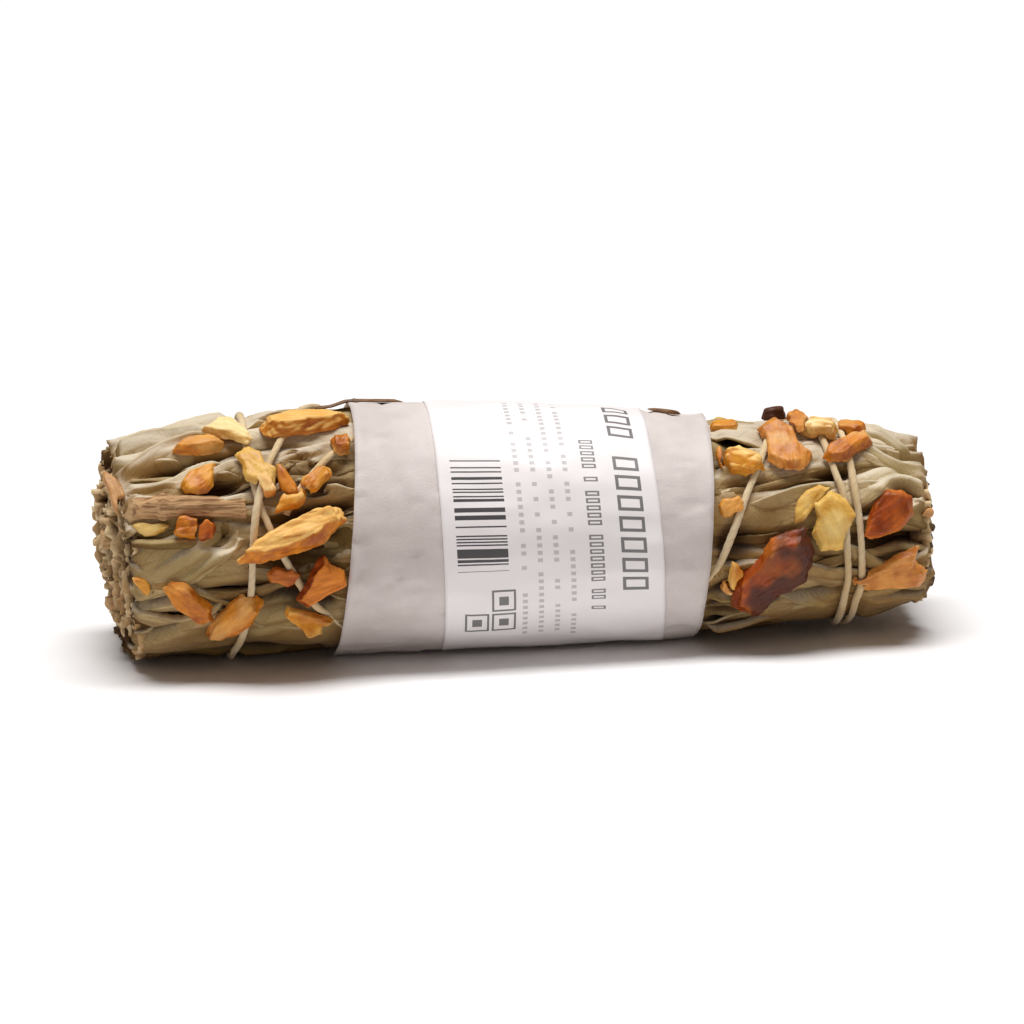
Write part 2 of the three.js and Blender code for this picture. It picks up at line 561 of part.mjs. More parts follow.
// Each sliver: name, outline, look, x, phi, turn in its own plane, length, width, thickness,
// how far its underside lies above the leaves, and how much it leans across and along.
const SLIVERS = [
  ["l_wedge_top", "wedge", "amber", -25.0, 72.5, 180, 11.2, 4.8, 2.2, 0.1, 8, 0],
  ["l_peel_top", "shard", "umber", -18.1, 102, 0, 12.2, 2.2, 0.6, 1.1, 0, 0],
  ["l_fan_top", "fan", "cream", -34.0, 71.5, 126, 7.8, 4.6, 1.2, 0.8, 0, 8],
  ["l_sliver_top", "wedge", "amber", -37.9, 66.5, 4, 7.0, 3.2, 1.7, 0.1, -8, 0],
  ["l_skin_middle", "shard", "straw", -31.4, 47.5, -67, 6.8, 4.2, 0.8, 0.9, 0, -4],
  ["l_drop_upper", "drop", "gold", -37.8, 46.5, -130, 6.0, 4.4, 1.0, 0.2, 10, 0],
  ["l_crescent_twig", "crescent", "straw", -44.1, 25, 176, 4.8, 2.4, 0.8, 0.0, 0, 0],
  ["l_block_twig", "block", "amber", -40.0, 22.5, -8, 3.0, 3.0, 1.7, 0.0, 0, 0],
  ["l_chip_twig", "shard", "rust", -37.9, 19.6, 20, 3.0, 2.7, 1.3, 0.0, 0, 0],
  ["l_strip_rim", "crescent", "gold", -45.5, -3.5, -55, 3.5, 1.9, 0.8, 0.0, 0, 0],
  ["l_kidney_low", "kidney", "amber", -40.0, -16.4, -50, 8.2, 3.9, 1.5, 0.1, 6, 0],
  ["l_chunk_low", "wedge", "amber", -35.1, -26, 34, 8.9, 4.5, 2.2, 0.3, -8, 0],
  ["l_clove_front", "wedge", "amber", -28.1, 14.3, 17, 14.8, 4.8, 3.0, 0.6, -22, 0],
  ["l_chip_pale", "block", "peach", -30.5, 37.5, -68, 3.5, 2.0, 1.6, 0.9, 0, 0],
  ["l_chip_upright", "wedge", "amber", -28.1, 39.5, -75, 5.0, 2.3, 1.4, 0.5, 0, 0],
  ["l_drop_middle", "drop", "gold", -27.9, 29.5, 36, 5.2, 2.9, 1.3, 0.6, -10, 0],
  ["l_kidney_middle", "kidney", "gold", -24.5, 37.8, 36, 5.0, 2.8, 1.4, 0.6, -10, 0],
  ["l_cube_band", "block", "amber", -21.05, 56.8, 0, 2.5, 2.8, 1.9, 0.1, 0, 0],
  ["l_chip_dark", "shard", "rust", -28.8, -5, -10, 4.3, 2.9, 1.0, 0.4, 0, 0],
  ["l_fan_band", "fan", "rust", -24.5, -9.8, 43, 6.8, 5.1, 1.6, 0.5, 0, 6],
  ["l_flat_low", "fan", "gold", -26.3, -28.5, -39, 6.8, 4.0, 1.0, 0.6, 0, 0],
  ["l_peel_rim", "crescent", "umber", -48.2, 49, -80, 7.2, 2.8, 0.8, 0.1, 0, 0],
  ["r_strip_top", "block", "gold", 25.7, 81, 0, 3.7, 2.3, 0.9, 0.0, 0, 0],
  ["r_chunk_band", "kidney", "gold", 26.9, 48, -32, 5.5, 4.3, 1.9, 0.1, 8, 0],
  ["r_sliver_band", "crescent", "amber", 24.3, 53, 90, 4.0, 1.2, 0.9, 0.0, 0, 0],
  ["r_flake_peach", "shard", "peach", 32.2, 60, -76, 9.2, 5.9, 1.2, 0.4, 0, 4],
  ["r_lobe_peach", "shard", "peach", 34.3, 77, 75, 5.4, 3.0, 1.1, 1.0, 0, 0],
  ["r_peel_band", "shard", "umber", 18.7, 96, 0, 4.8, 1.4, 0.6, 1.1, 0, 0],
  ["r_bead_dark", "kidney", "umber", 31.9, 88.5, 10, 3.2, 2.4, 1.5, 0.6, 0, 0],
  ["r_bead_tan", "kidney", "cream", 36.9, 72.5, -15, 4.8, 3.6, 1.9, 0.5, 10, 0],
  ["r_chip_upper", "shard", "amber", 41.0, 79.5, -20, 4.0, 3.2, 1.4, 0.3, 0, 0],
  ["r_kidney_upper", "kidney", "amber", 39.9, 58.5, 29, 7.8, 3.4, 1.7, 0.6, -8, 0],
  ["r_crescent_pale", "crescent", "straw", 34.5, 24.3, 42, 6.8, 3.2, 0.8, 0.2, 0, 0],
  ["r_flake_pale", "shard", "straw", 37.0, 14.5, 75, 7.8, 5.8, 1.0, 0.9, 0, 0],
  ["r_drop_rust", "drop", "rust", 43.5, 16, 40, 8.6, 5.2, 1.5, 0.5, 0, 4],
  ["r_clove_dark", "shard", "rust", 29.9, -13, 46, 13.2, 7.6, 2.0, 0.3, 0, 0],
  ["r_drop_band", "drop", "gold", 25.5, -13, -75, 4.5, 2.7, 1.0, 0.4, 0, 0],
  ["r_lump_band", "kidney", "peach", 25.0, -19, 20, 3.2, 2.2, 1.1, 0.0, 0, 0],
  ["r_chip_band", "kidney", "amber", 25.2, 24, 5, 3.6, 3.0, 1.0, 0.0, 0, 0],
  ["r_flake_low", "fan", "peach", 44.1, -19, 14, 9.8, 5.9, 1.2, 0.8, 0, 2],
  ["r_chip_rim", "drop", "umber", 49.2, 21, 15, 1.9, 1.6, 0.8, 0.0, 0, 0],
];

// On the side away from the front the slivers follow a rule: rows along the stick, with the
// outline, look, size and turn drawn.
const BACK_KINDS = ["wedge", "shard", "kidney", "drop", "fan", "crescent"];
const BACK_LOOKS = ["amber", "gold", "peach", "rust", "amber", "straw"];
const BACK_ROWS = [
  { phi: 140, xs: [-43, -34.5, -26.5, 27.5, 36, 43.5] },
  { phi: 175, xs: [-39, -29.5, 35] },
  { phi: 208, xs: [-43, -26] },
];

function backSlivers() {
  return BACK_ROWS.flatMap((row, r) =>
    row.xs.map((x, i) => {
      const number = 10 * r + i;
      const draw = (k) => chance(number + 300, k);
      const length = mix(5.6, 8.4, draw(1));
      const width = length * mix(0.5, 0.66, draw(5));
      const kind = BACK_KINDS[(number * 5 + 1) % BACK_KINDS.length];
      const tint = BACK_LOOKS[(number * 7 + 2) % BACK_LOOKS.length];
      const phi = row.phi + mix(-7, 7, draw(2));
      const turn = mix(-80, 80, draw(3));
      const thick = mix(1.0, 1.8, draw(4));
      const name = `back_${r + 1}_${i + 1}`;
      return [name, kind, tint, x, phi, turn, length, width, thick, 0.1, 0, 0];
    }),
  );
}

// One sliver: its flat underside has the whole outline, its top a smaller one with a crown.
function sliver([name, kind, , x, phi, turn, length, width, thick, stand, across, along], grow) {
  const seed = name.length * 7 + x;
  const ring = (scale, height) =>
    OUTLINES[kind].map(([u, v], i) => {
      const reach = 1 + 0.12 * (chance(seed, i) - 0.5);
      const bow = -0.012 * length * (u * u - 0.3);
      const px = u * reach * scale * (length / 2) + Math.sign(u) * grow;
      const py = v * reach * scale * (width / 2) + Math.sign(v) * grow;
      return new THREE.Vector3(px, py, height * (1 + 0.1 * u) + bow);
    });
  const half = thick / 2 + grow;
  const crown = new THREE.Vector3(0, 0, half);
  const body = loft([ring(1, -half), ring(0.78, 0.8 * half)], undefined, crown);
  return solid(body.applyMatrix4(seat(x, phi, stand + thick / 2, turn, across, along)));
}

// A plain closed box round the origin.
function block(x, y, z) {
  const box = new THREE.BoxGeometry(x, y, z);
  return mergeVertices(box.deleteAttribute("normal").deleteAttribute("uv"));
}

// The recess that a sliver leaves in the leaves: a plain box a little larger than it.
function recess([, , , x, phi, turn, length, width, thick, stand, across, along]) {
  const room = [1.08 * length, 1.08 * width, 1.15 * thick].map((size) => size + 2 * GAP);
  const place = seat(x, phi, stand + thick / 2, turn, across, along);
  return solid(block(...room).applyMatrix4(place));
}

// The frame of a piece that lies on the stick: out of the surface is its own +Z.
function seat(x, phi, lift, turn, across, along) {
  const out = new THREE.Vector3(0, -Math.cos(rad(phi)), Math.sin(rad(phi)));
  const up = new THREE.Vector3(0, Math.sin(rad(phi)), Math.cos(rad(phi)));
  const matrix = new THREE.Matrix4().makeBasis(new THREE.Vector3(1, 0, 0), up, out);
  matrix.setPosition(around(x, phi, radiusAt(x) + lift));
  const spin = new THREE.Euler(rad(across), rad(along), rad(turn), "ZYX");
  return matrix.multiply(new THREE.Matrix4().makeRotationFromEuler(spin));
}

// Assembly

const twigs = INNER_TWIGS.map((twig) => innerTwig(twig, 0));
const band = paperBand(0);
const stringBody = welded(mainBody(cottonString(0).subtract(paperBand(GAP))));
const allSlivers = [...SLIVERS, ...backSlivers()];

// Every sliver is clear of the string, the band, the front twig and the ones before it.
let taken = joined([cottonString(GAP), paperBand(GAP), frontTwig(GAP)]);
const slivers = allSlivers.map((row) => {
  const body = mainBody(sliver(row, 0).subtract(taken));
  taken = taken.add(sliver(row, GAP));
  return body;
});

const leaves = [ENDS.left, ENDS.right].flatMap((end, e) => {
  const list = [...LEAVES[e ? "right" : "left"], ...ruledLeaves(end)];
  return list.map((leaf, i) => leafBlade(leaf, 100 * e + i, end));
});
const packed = joined([core(), ...ribbons(ENDS.left), ...ribbons(ENDS.right), ...leaves]);

// What the leaves leave free: the space under them, the band with the string that it presses
// in, and every piece that lies on or in them.
const below = block(FLOOR.x, FLOOR.y, FLOOR.depth).translate(0, 0, FLOOR_LEAVES - FLOOR.depth / 2);
const aroundBand = bandTube(3, PAPER - 3, 0.008);
const bandRoom = aroundBand.subtract(bandTube(-UNDER_BAND, PAPER + UNDER_BAND, 0.1));
const cuts = joined([
  solid(below),
  bandRoom,
  cottonString(GAP, 4),
  frontTwig(GAP),
  ...allSlivers.map(recess),
  ...INNER_TWIGS.map((twig) => innerTwig(twig, GAP)),
]);
const bundle = welded(welded(mainBody(packed.subtract(cuts))));

const stick = new THREE.Group();
stick.add(meshOf("sage_bundle", bundle, SAGE));
stick.add(meshOf("woody_stem_front", mainBody(frontTwig(0).subtract(cottonString(GAP))), TWIG));
twigs.forEach((twig, i) => stick.add(meshOf(`woody_stem_inner_${i + 1}`, twig, TWIG)));
stick.add(meshOf("cotton_string", stringBody, COTTON));
stick.add(meshOf("paper_band", band, BAND_PAPER));
stick.add(meshOf("label_sticker", label(), LABEL_PAPER));
allSlivers.forEach(([name, , tint], i) =>
  stick.add(meshOf(`garlic_${name}`, slivers[i], GARLIC[tint])),
);

export default stick;
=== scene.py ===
# %% [markdown]
# # A sage smudge stick
# A smudge stick is a bundle of dried white sage, pressed into a roll, bound with cotton
# string and cut off square. This one is stuck over with dried garlic slivers and wears a
# paper band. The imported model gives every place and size. Here each piece gets the look
# of the real one: felted leaves, crumpled cut ends, waxy slivers, twisted string, paper.

import json
import math

import bpy
import numpy as np
from mathutils import Matrix, Vector, noise


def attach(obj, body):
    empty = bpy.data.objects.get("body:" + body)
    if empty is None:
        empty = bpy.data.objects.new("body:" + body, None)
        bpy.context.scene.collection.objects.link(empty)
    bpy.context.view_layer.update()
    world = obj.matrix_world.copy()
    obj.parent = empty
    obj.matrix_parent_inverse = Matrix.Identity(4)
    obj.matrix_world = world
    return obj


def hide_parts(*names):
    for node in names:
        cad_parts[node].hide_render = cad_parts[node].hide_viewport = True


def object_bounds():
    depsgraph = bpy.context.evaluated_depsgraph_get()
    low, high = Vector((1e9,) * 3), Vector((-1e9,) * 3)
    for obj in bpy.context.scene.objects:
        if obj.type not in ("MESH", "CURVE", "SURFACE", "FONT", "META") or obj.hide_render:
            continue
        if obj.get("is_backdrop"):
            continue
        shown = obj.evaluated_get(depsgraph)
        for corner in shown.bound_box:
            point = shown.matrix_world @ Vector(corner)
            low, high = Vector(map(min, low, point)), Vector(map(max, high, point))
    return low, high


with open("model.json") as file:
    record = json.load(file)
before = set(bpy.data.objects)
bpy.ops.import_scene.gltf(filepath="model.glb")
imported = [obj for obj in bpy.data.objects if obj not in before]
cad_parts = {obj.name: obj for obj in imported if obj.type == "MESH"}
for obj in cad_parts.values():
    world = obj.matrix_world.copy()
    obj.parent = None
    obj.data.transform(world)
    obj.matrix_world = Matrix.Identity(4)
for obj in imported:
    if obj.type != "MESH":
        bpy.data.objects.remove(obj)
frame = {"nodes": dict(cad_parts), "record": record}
CAD_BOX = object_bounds()
MM = 0.001
print("nodes:", len(frame["nodes"]), "box:", [tuple(round(c / MM, 1) for c in p) for p in CAD_BOX])

# %% [markdown]
# ## Camera
# The stick was photographed from a little above, with a long lens, so its outline is
# nearly the one of a side view. A long focal length far away gives that flat perspective.
# The picture is turned by about a degree, because the stick's slim end lies higher there.

# %% Camera
LENS = 260
AZIMUTH, ELEVATION, ROLL = (math.radians(a) for a in (-6, 15, -1.05))
DISTANCE = 891 * MM
LOOK_AT = Vector((0, 0, 13.9 * MM))
RAISE = 1.7 * MM  # how far the stick's middle lies below the picture's

back = Vector((math.sin(AZIMUTH), -math.cos(AZIMUTH), 0)) * math.cos(ELEVATION)
back.z = math.sin(ELEVATION)
bpy.ops.object.camera_add()
camera = bpy.context.object
camera.name = "camera"
camera.data.lens = LENS
camera.data.clip_start = 0.01
turn = back.to_track_quat("Z", "Y").to_matrix().to_4x4()
camera.matrix_world = turn @ Matrix.Rotation(ROLL, 4, "Z")
up = camera.matrix_world.to_3x3() @ Vector((0, 1, 0))
camera.location = LOOK_AT + back * DISTANCE + up * RAISE
bpy.context.scene.camera = camera
print("camera at", [round(c, 3) for c in camera.location])

# %% [markdown]
# ## The stick's own surface
# Every piece lies on the bundle, so places are given on its surface: `x` along the stick,
# `phi` round it (0 in front, 90 on top) and a height above the leaves. The radius and the
# height of the axis follow the same stations as the solid model, smoothed a little so
# that paper and leaves show no kinks. Lengths are in millimetres until a mesh is written.

# %% The surface of the bundle
STATIONS = np.array([
    (-52, 12.1, 12.8), (-45.5, 12.9, 13.1), (-40.5, 13.45, 13.75), (-36, 13.8, 14.1),
    (-26, 14.4, 14.45), (-20, 14.5, 14.5), (-8, 14.4, 14.3), (10, 13.8, 13.8),
    (22, 12.9, 12.9), (34, 12.1, 13.0), (41, 11.6, 12.6), (45.5, 10.6, 12.7),
    (48, 9.65, 12.25), (52, 8.75, 11.75),
])
FINE_X = np.arange(-56, 56, 0.5)
BLUR = np.ones(9) / 9


def smoothed(column):
    straight = np.interp(FINE_X, STATIONS[:, 0], STATIONS[:, column])
    soft = np.convolve(np.pad(straight, 4, "edge"), BLUR, "valid")
    return soft


RADII, AXES = smoothed(1), smoothed(2)


def radius_at(x):
    return np.interp(x, FINE_X, RADII)


def axis_at(x):
    return np.interp(x, FINE_X, AXES)


def around(x, phi, height):
    """Points at x, phi degrees round the axis, that height above the leaves."""
    r = radius_at(x) + height
    turned = np.radians(phi)
    return np.stack([x + 0 * r, -r * np.cos(turned), axis_at(x) + r * np.sin(turned)], -1)


def ease(t, low, high):
    t = np.clip((t - low) / (high - low), 0, 1)
    return t * t * (3 - 2 * t)


def mix(a, b, t):
    return a + (b - a) * t


def chance(i, k):
    """A repeatable draw between 0 and 1 for item i and property k."""
    wave = math.sin(i * 12.9898 + k * 78.233 + 4.1) * 43758.5453
    return wave - math.floor(wave)


def rough(points, size, seed=0.0):
    """Smooth noise, about -0.5 to 0.5, with lumps of that size in mm."""
    size = np.broadcast_to(np.asarray(size, float), 3)
    places = points / size + np.array([seed * 7.3, seed * 3.1, seed * 5.7])
    return np.array([noise.noise(Vector(p)) for p in places])


print("radius at the middle:", round(float(radius_at(0)), 2), "mm")

# %% [markdown]
# ## Small helpers
# Pieces are made with operators, which act on what is selected. `take` selects one piece
# alone. A modifier is applied at once, so that what follows works on the real mesh.

# %% Helpers for pieces
def take_none():
    bpy.ops.object.select_all(action="DESELECT")


def take(*pieces):
    take_none()
    for piece in pieces:
        piece.select_set(True)
    bpy.context.view_layer.objects.active = pieces[0]


def apply(piece, kind, **settings):
    modifier = piece.modifiers.new(kind.lower(), kind)
    for key, value in settings.items():
        setattr(modifier, key, value)
    take(piece)
    bpy.ops.object.modifier_apply(modifier=modifier.name)


def points_of(piece):
    flat = np.zeros(len(piece.data.vertices) * 3)
    piece.data.vertices.foreach_get("co", flat)
    return flat.reshape(-1, 3) / MM


def set_points(piece, points):
    piece.data.vertices.foreach_set("co", (points * MM).astype(np.float32).ravel())
    piece.data.update()


def normals_of(piece):
    flat = np.zeros(len(piece.data.vertices) * 3)
    piece.data.vertices.foreach_get("normal", flat)
    return flat.reshape(-1, 3)


def store(piece, name, values):
    """Keeps a number for every point under a name that a finish can read."""
    layer = piece.data.attributes.get(name) or piece.data.attributes.new(name, "FLOAT", "POINT")
    values = np.broadcast_to(np.asarray(values, np.float32), len(piece.data.vertices))
    layer.data.foreach_set("value", np.ascontiguousarray(values))


def copy_of(source, name):
    piece = source.copy()
    piece.data = source.data.copy()
    piece.name = piece.data.name = name
    bpy.context.scene.collection.objects.link(piece)
    return piece


def join(pieces, name):
    take(*pieces)
    bpy.ops.object.join()
    pieces[0].name = pieces[0].data.name = name
    return pieces[0]


def outward(piece):
    """Turns all faces of a closed piece outwards."""
    take(piece)
    bpy.ops.object.mode_set(mode="EDIT")
    bpy.ops.mesh.select_all(action="SELECT")
    bpy.ops.mesh.normals_make_consistent(inside=False)
    bpy.ops.object.mode_set(mode="OBJECT")


def flat_sheet(along, across, name):
    """A flat sheet of squares, from -1 to 1 both ways, and its corners as u 0..1 and v -1..1."""
    take_none()
    bpy.ops.mesh.primitive_grid_add(x_subdivisions=along, y_subdivisions=across, size=2)
    sheet = bpy.context.object
    sheet.name = sheet.data.name = name
    flat = points_of(sheet) * MM
    return sheet, (flat[:, 0] + 1) / 2, flat[:, 1]


def set_uv(piece, first, second):
    """Writes two lengths in mm for every corner of the mesh as its own UV map."""
    corners = np.zeros(len(piece.data.loops), int)
    piece.data.loops.foreach_get("vertex_index", corners)
    layers = piece.data.uv_layers
    layer = layers[0] if layers else layers.new(name="UVMap")
    pairs = np.stack([first[corners], second[corners]], -1)
    layer.data.foreach_set("uv", pairs.astype(np.float32).ravel())


def finish(piece, look, slot, *nodes, smooth=True):
    """Gives a piece its look, hides the nodes it stands for and gives it its body; slot is not used."""
    piece.data.materials.clear()
    piece.data.materials.append(look)
    take(piece)
    if smooth:
        bpy.ops.object.shade_smooth()
    if nodes:
        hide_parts(*nodes)
    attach(piece, "root")
    print(piece.name, "triangles:", sum(len(p.vertices) - 2 for p in piece.data.polygons))


# %% [markdown]
# ## Shader maths
# A material is a small tree of nodes. `Value` wraps a socket, so that an expression such
# as `1 - mask * 0.5` adds the Math nodes it needs, and `Look.node` makes any other node.
# Numbers that are the same all over a piece are set on the shader itself.

# %% Shader helpers
class Value:
    def __init__(self, look, socket):
        self.look = look
        self.socket = socket

    def math(self, operation, *others):
        return self.look.node("Math", dict(enumerate((self, *others))), operation=operation)

    def __add__(self, other):
        return self.math("ADD", other)

    def __mul__(self, other):
        return self.math("MULTIPLY", other)

    def __sub__(self, other):
        return self.math("SUBTRACT", other)

    def __rsub__(self, other):
        return self.look.node("Math", {0: other, 1: self}, operation="SUBTRACT")

    def __truediv__(self, other):
        return self.math("DIVIDE", other)

    __radd__, __rmul__ = __add__, __mul__

    def above(self, edge):
        return self.math("GREATER_THAN", edge)

    def below(self, edge):
        return self.math("LESS_THAN", edge)

    def between(self, low, high):
        return self.above(low) * self.below(high)

    def step(self, low, high):
        """0 below low, 1 above high, smooth between."""
        ends = {"Value": self, "From Min": low, "From Max": high}
        return self.look.node("MapRange", ends, interpolation_type="SMOOTHSTEP")

    def floor(self):
        return self.math("FLOOR")

    def fract(self):
        return self.math("FRACT")

    def abs(self):
        return self.math("ABSOLUTE")

    def sin(self):
        return self.math("SINE")


class Look:
    def __init__(self, name, fixed):
        self.material = bpy.data.materials.new(name)
        self.material.use_nodes = True
        self.nodes = self.material.node_tree.nodes
        self.shader = self.nodes["Principled BSDF"]
        for key, value in fixed.items():
            self.shader.inputs[key].default_value = value

    def node(self, kind, sockets, out=0, **settings):
        made = self.nodes.new("ShaderNode" + kind)
        for key, value in settings.items():
            setattr(made, key, value)
        for key, value in sockets.items():
            if isinstance(value, Value):
                self.material.node_tree.links.new(value.socket, made.inputs[key])
            else:
                made.inputs[key].default_value = value
        return Value(self, made.outputs[out])

    def place(self):
        """Object coordinates, in millimetres."""
        metres = self.node("TexCoord", {}, "Object")
        return self.node("VectorMath", {0: metres, 3: 1 / MM}, operation="SCALE")

    def uv(self):
        return self.node("TexCoord", {}, "UV")

    def parts(self, vector):
        return [self.node("SeparateXYZ", {0: vector}, axis) for axis in "XYZ"]

    def scaled(self, vector, *factors):
        return self.node("VectorMath", {0: vector, 1: factors}, operation="MULTIPLY")

    def shifted(self, vector, amount):
        return self.node("VectorMath", {0: vector, 1: amount}, operation="ADD")

    def grain(self, vector, size, detail=3.0, roughness=0.55):
        """Noise with lumps of that size in mm."""
        sockets = {"Vector": vector, "Scale": 1 / size, "Detail": detail, "Roughness": roughness}
        return self.node("TexNoise", sockets)

    def attribute(self, name):
        return self.node("Attribute", {}, "Fac", attribute_name=name)

    def blend(self, factor, first, second, mode="MIX"):
        made = self.nodes.new("ShaderNodeMix")
        made.data_type = "RGBA"
        made.blend_type = mode
        for index, value in ((0, factor), (6, first), (7, second)):
            if isinstance(value, Value):
                self.material.node_tree.links.new(value.socket, made.inputs[index])
            else:
                made.inputs[index].default_value = value if index == 0 else (*value, 1)
        return Value(self, made.outputs[2])

    def set(self, socket, value):
        self.material.node_tree.links.new(value.socket, self.shader.inputs[socket])

    def bump(self, height, depth, strength=1.0):
        """Relief of that depth in mm for a height that runs from 0 to 1."""
        sockets = {"Height": height, "Distance": depth * MM, "Strength": strength}
        self.set("Normal", self.node("Bump", sockets))


def srgb(*values):
    """A colour given as it is seen on a screen, 0 to 255, as the shader needs it."""
    return tuple(((v / 255 + 0.055) / 1.055) ** 2.4 if v > 10 else v / 255 / 12.92 for v in values)


# %% [markdown]
# ## String route
# The string is one length, wound five and a half times round the stick. Its route is the
# list of the solid model: place along the stick, turn, and the height that a crossing
# adds. Leaves need it too, because they are pinched where the string runs.

# %% String route
ROUTE = np.array([
    (-28.3, 24, -1.2), (-27.2, 31, -0.4), (-25.8, 37.4, 0), (-22.2, 53, 0), (-19, 66, 0),
    (-14, 110, 0), (-9, 180, 0), (-10, 240, 0), (-16, 294, 0), (-20.5, 314, 0),
    (-23.5, 331, 0), (-25.6, 341, 0), (-28.5, 362, 0), (-30.2, 377.6, 0), (-31.3, 390, 0),
    (-32.2, 410, 0), (-32.3, 435, 0), (-32.3, 460, 0), (-32.3, 540, 0), (-33.4, 600, 0),
    (-34.6, 645, 0), (-34.5, 663, 0), (-33.7, 676, 0), (-32.6, 708, 0), (-32.4, 722, 0),
    (-32.2, 735, 0.3), (-31.7, 747, 0.85), (-30.8, 759, 0.85), (-29.5, 772, 0.3),
    (-28.3, 782, 0), (-25.5, 810, 0), (-21.5, 840, 0), (-12, 890, 0), (0, 950, 0),
    (12, 1010, 0), (19.5, 1048, 0), (23.6, 1072.8, 0), (24.7, 1085.8, 0), (25.9, 1098.6, 0),
    (27.1, 1111.5, 0), (28.3, 1121.7, 0), (30, 1140, 0), (32.5, 1170, 0), (36, 1260, 0),
    (39, 1320, 0), (40.2, 1383.5, 0), (40.3, 1403, 0), (40.9, 1415, 0), (40.7, 1440.5, 0),
    (40.5, 1457.8, 0), (40.2, 1472.5, 0), (40, 1491.7, 0), (39.5, 1530, 0), (38.9, 1620, 0),
    (38.6, 1680, 0), (38.7, 1745, 0), (38.9, 1770, 0), (39.2, 1779.5, 0), (38.9, 1802.6, 0),
    (38.7, 1833, 0), (38.2, 1839.6, 0), (37.7, 1851, 0), (36.5, 1890, 0), (32, 1950, 0),
    (24, 2000, 0), (17, 2040, -1.2),
])
STRING = 1.0  # its diameter in mm
STRING_STAND = {"free": 0.4, "pressed": -0.45}  # its middle over the leaves, and under the band
FINE_TURN = np.arange(ROUTE[0, 1], ROUTE[-1, 1], 1.0)


def softened(column, reach=7):
    straight = np.interp(FINE_TURN, ROUTE[:, 1], ROUTE[:, column])
    window = np.hanning(2 * reach + 3)[1:-1]
    return np.convolve(np.pad(straight, reach, "edge"), window / window.sum(), "valid")


ROUTE_X, ROUTE_EXTRA = softened(0), softened(2)

# %% [markdown]
# ## Band edges and paper
# The paper band was cut and wrapped a little askew, so its edges run as a sine round the
# stick. Leaves and string are pressed down under it. The paper has soft dents, long soft
# creases, and sharp ones where no label holds it smooth. The label and the peels on it
# follow them, so they are worked out here.

# %% Band edges and paper
BAND = ((-20.85, 1.65), (22.45, 1.15))  # each edge: its middle and how far it sways, in mm
LABEL = ((-9.75, -0.4), (16.65, -0.7))
PAPER = {"stand": 0.56, "thick": 0.14, "from": 175, "lap": 40, "lap_rise": 0.3}
DENTS, SOFT_CREASES, SHARP_CREASES = 0.6, 0.8, 0.17
GIRTH = 14.0  # mm for one radian round the band


def edge_x(edge, phi):
    return edge[0] + edge[1] * np.sin(np.radians(phi))


def inside_band(x, phi):
    """How far inside the band's nearer edge a place lies, in mm. Outside it is below 0."""
    return np.minimum(x - edge_x(BAND[0], phi), edge_x(BAND[1], phi) - x)


def under_band(x, phi):
    """0 where the string lies free, 1 where the band holds it down."""
    return ease(inside_band(x, phi), -3.6, -1.0)


def tucked(x, phi):
    """How far the leaves have gone under the band's edge, from 0 to 1."""
    return ease(inside_band(x, phi), -2.2, -0.5)


def off_label(x):
    """0 where the label holds the band smooth, 1 at the bare paper on both sides of it."""
    left = 1 - ease(x, LABEL[0][0] - 2.4, LABEL[0][0] - 1)
    right = ease(x, LABEL[1][0] + 1, LABEL[1][0] + 2.4)
    return np.maximum(left, right)


def paper_stand(x, phi):
    """How far the band's paper stands over the leaves. The front is at phi 360 here."""
    flat = np.stack([x, np.radians(phi) * GIRTH, 0 * x], -1)
    dents = 0.5 * rough(flat, (12, 9, 1), 3.0) + 0.22 * rough(flat, (5, 2.2, 1), 8.0)
    soft = 0.28 * np.abs(rough(flat, (16, 5, 1), 21.0)) + 0.2 * np.abs(rough(flat, (4, 11, 1), 33.0))
    sharp = np.exp(-((rough(flat, (6, 17, 1), 61.0) / 0.035) ** 2))
    sharp = sharp * ease(rough(flat, 9.0, 71.0), -0.1, 0.2) * off_label(x)
    return PAPER["stand"] + DENTS * dents - SOFT_CREASES * soft + SHARP_CREASES * sharp


def string_gap(x, phi):
    """How far each place lies from the nearest run of the string, in mm."""
    nearest = np.full(np.shape(x), 99.0)
    for lap in range(-1, 7):
        turned = np.mod(phi, 360) + 360 * lap
        inside = (turned > FINE_TURN[0]) & (turned < FINE_TURN[-1])
        run = np.interp(turned, FINE_TURN, ROUTE_X)
        slope = (np.interp(turned + 2, FINE_TURN, ROUTE_X) - run) / (2 * math.radians(14))
        gap = np.abs(x - run) / np.sqrt(1 + slope * slope)
        nearest = np.where(inside, np.minimum(nearest, gap), nearest)
    return nearest


# %% [markdown]
# ## Where the slivers lie
# The garlic slivers press the leaves down under them. Each one's middle, its three
# directions and its half sizes are read from its solid, so nothing has to be repeated.

# %% Slivers as measured on the frame
def measure(node):
    points = points_of(frame["nodes"][node])
    middle = (points.min(0) + points.max(0)) / 2
    spread = np.cov((points - points.mean(0)).T)
    axes = np.linalg.eigh(spread)[1][:, ::-1].T  # longest first, the thin way last
    out = np.array([0, middle[1], middle[2] - axis_at(middle[0])])
    if axes[2] @ out < 0:
        axes[2] = -axes[2]
    local = (points - middle) @ axes.T
    middle = middle + axes.T @ ((local.max(0) + local.min(0)) / 2)
    half = (local.max(0) - local.min(0)) / 2
    return {"node": node, "middle": middle, "axes": axes, "half": half}


SLIVERS = [measure(node) for node in sorted(frame["nodes"]) if node.startswith("garlic")]
print("slivers:", len(SLIVERS))


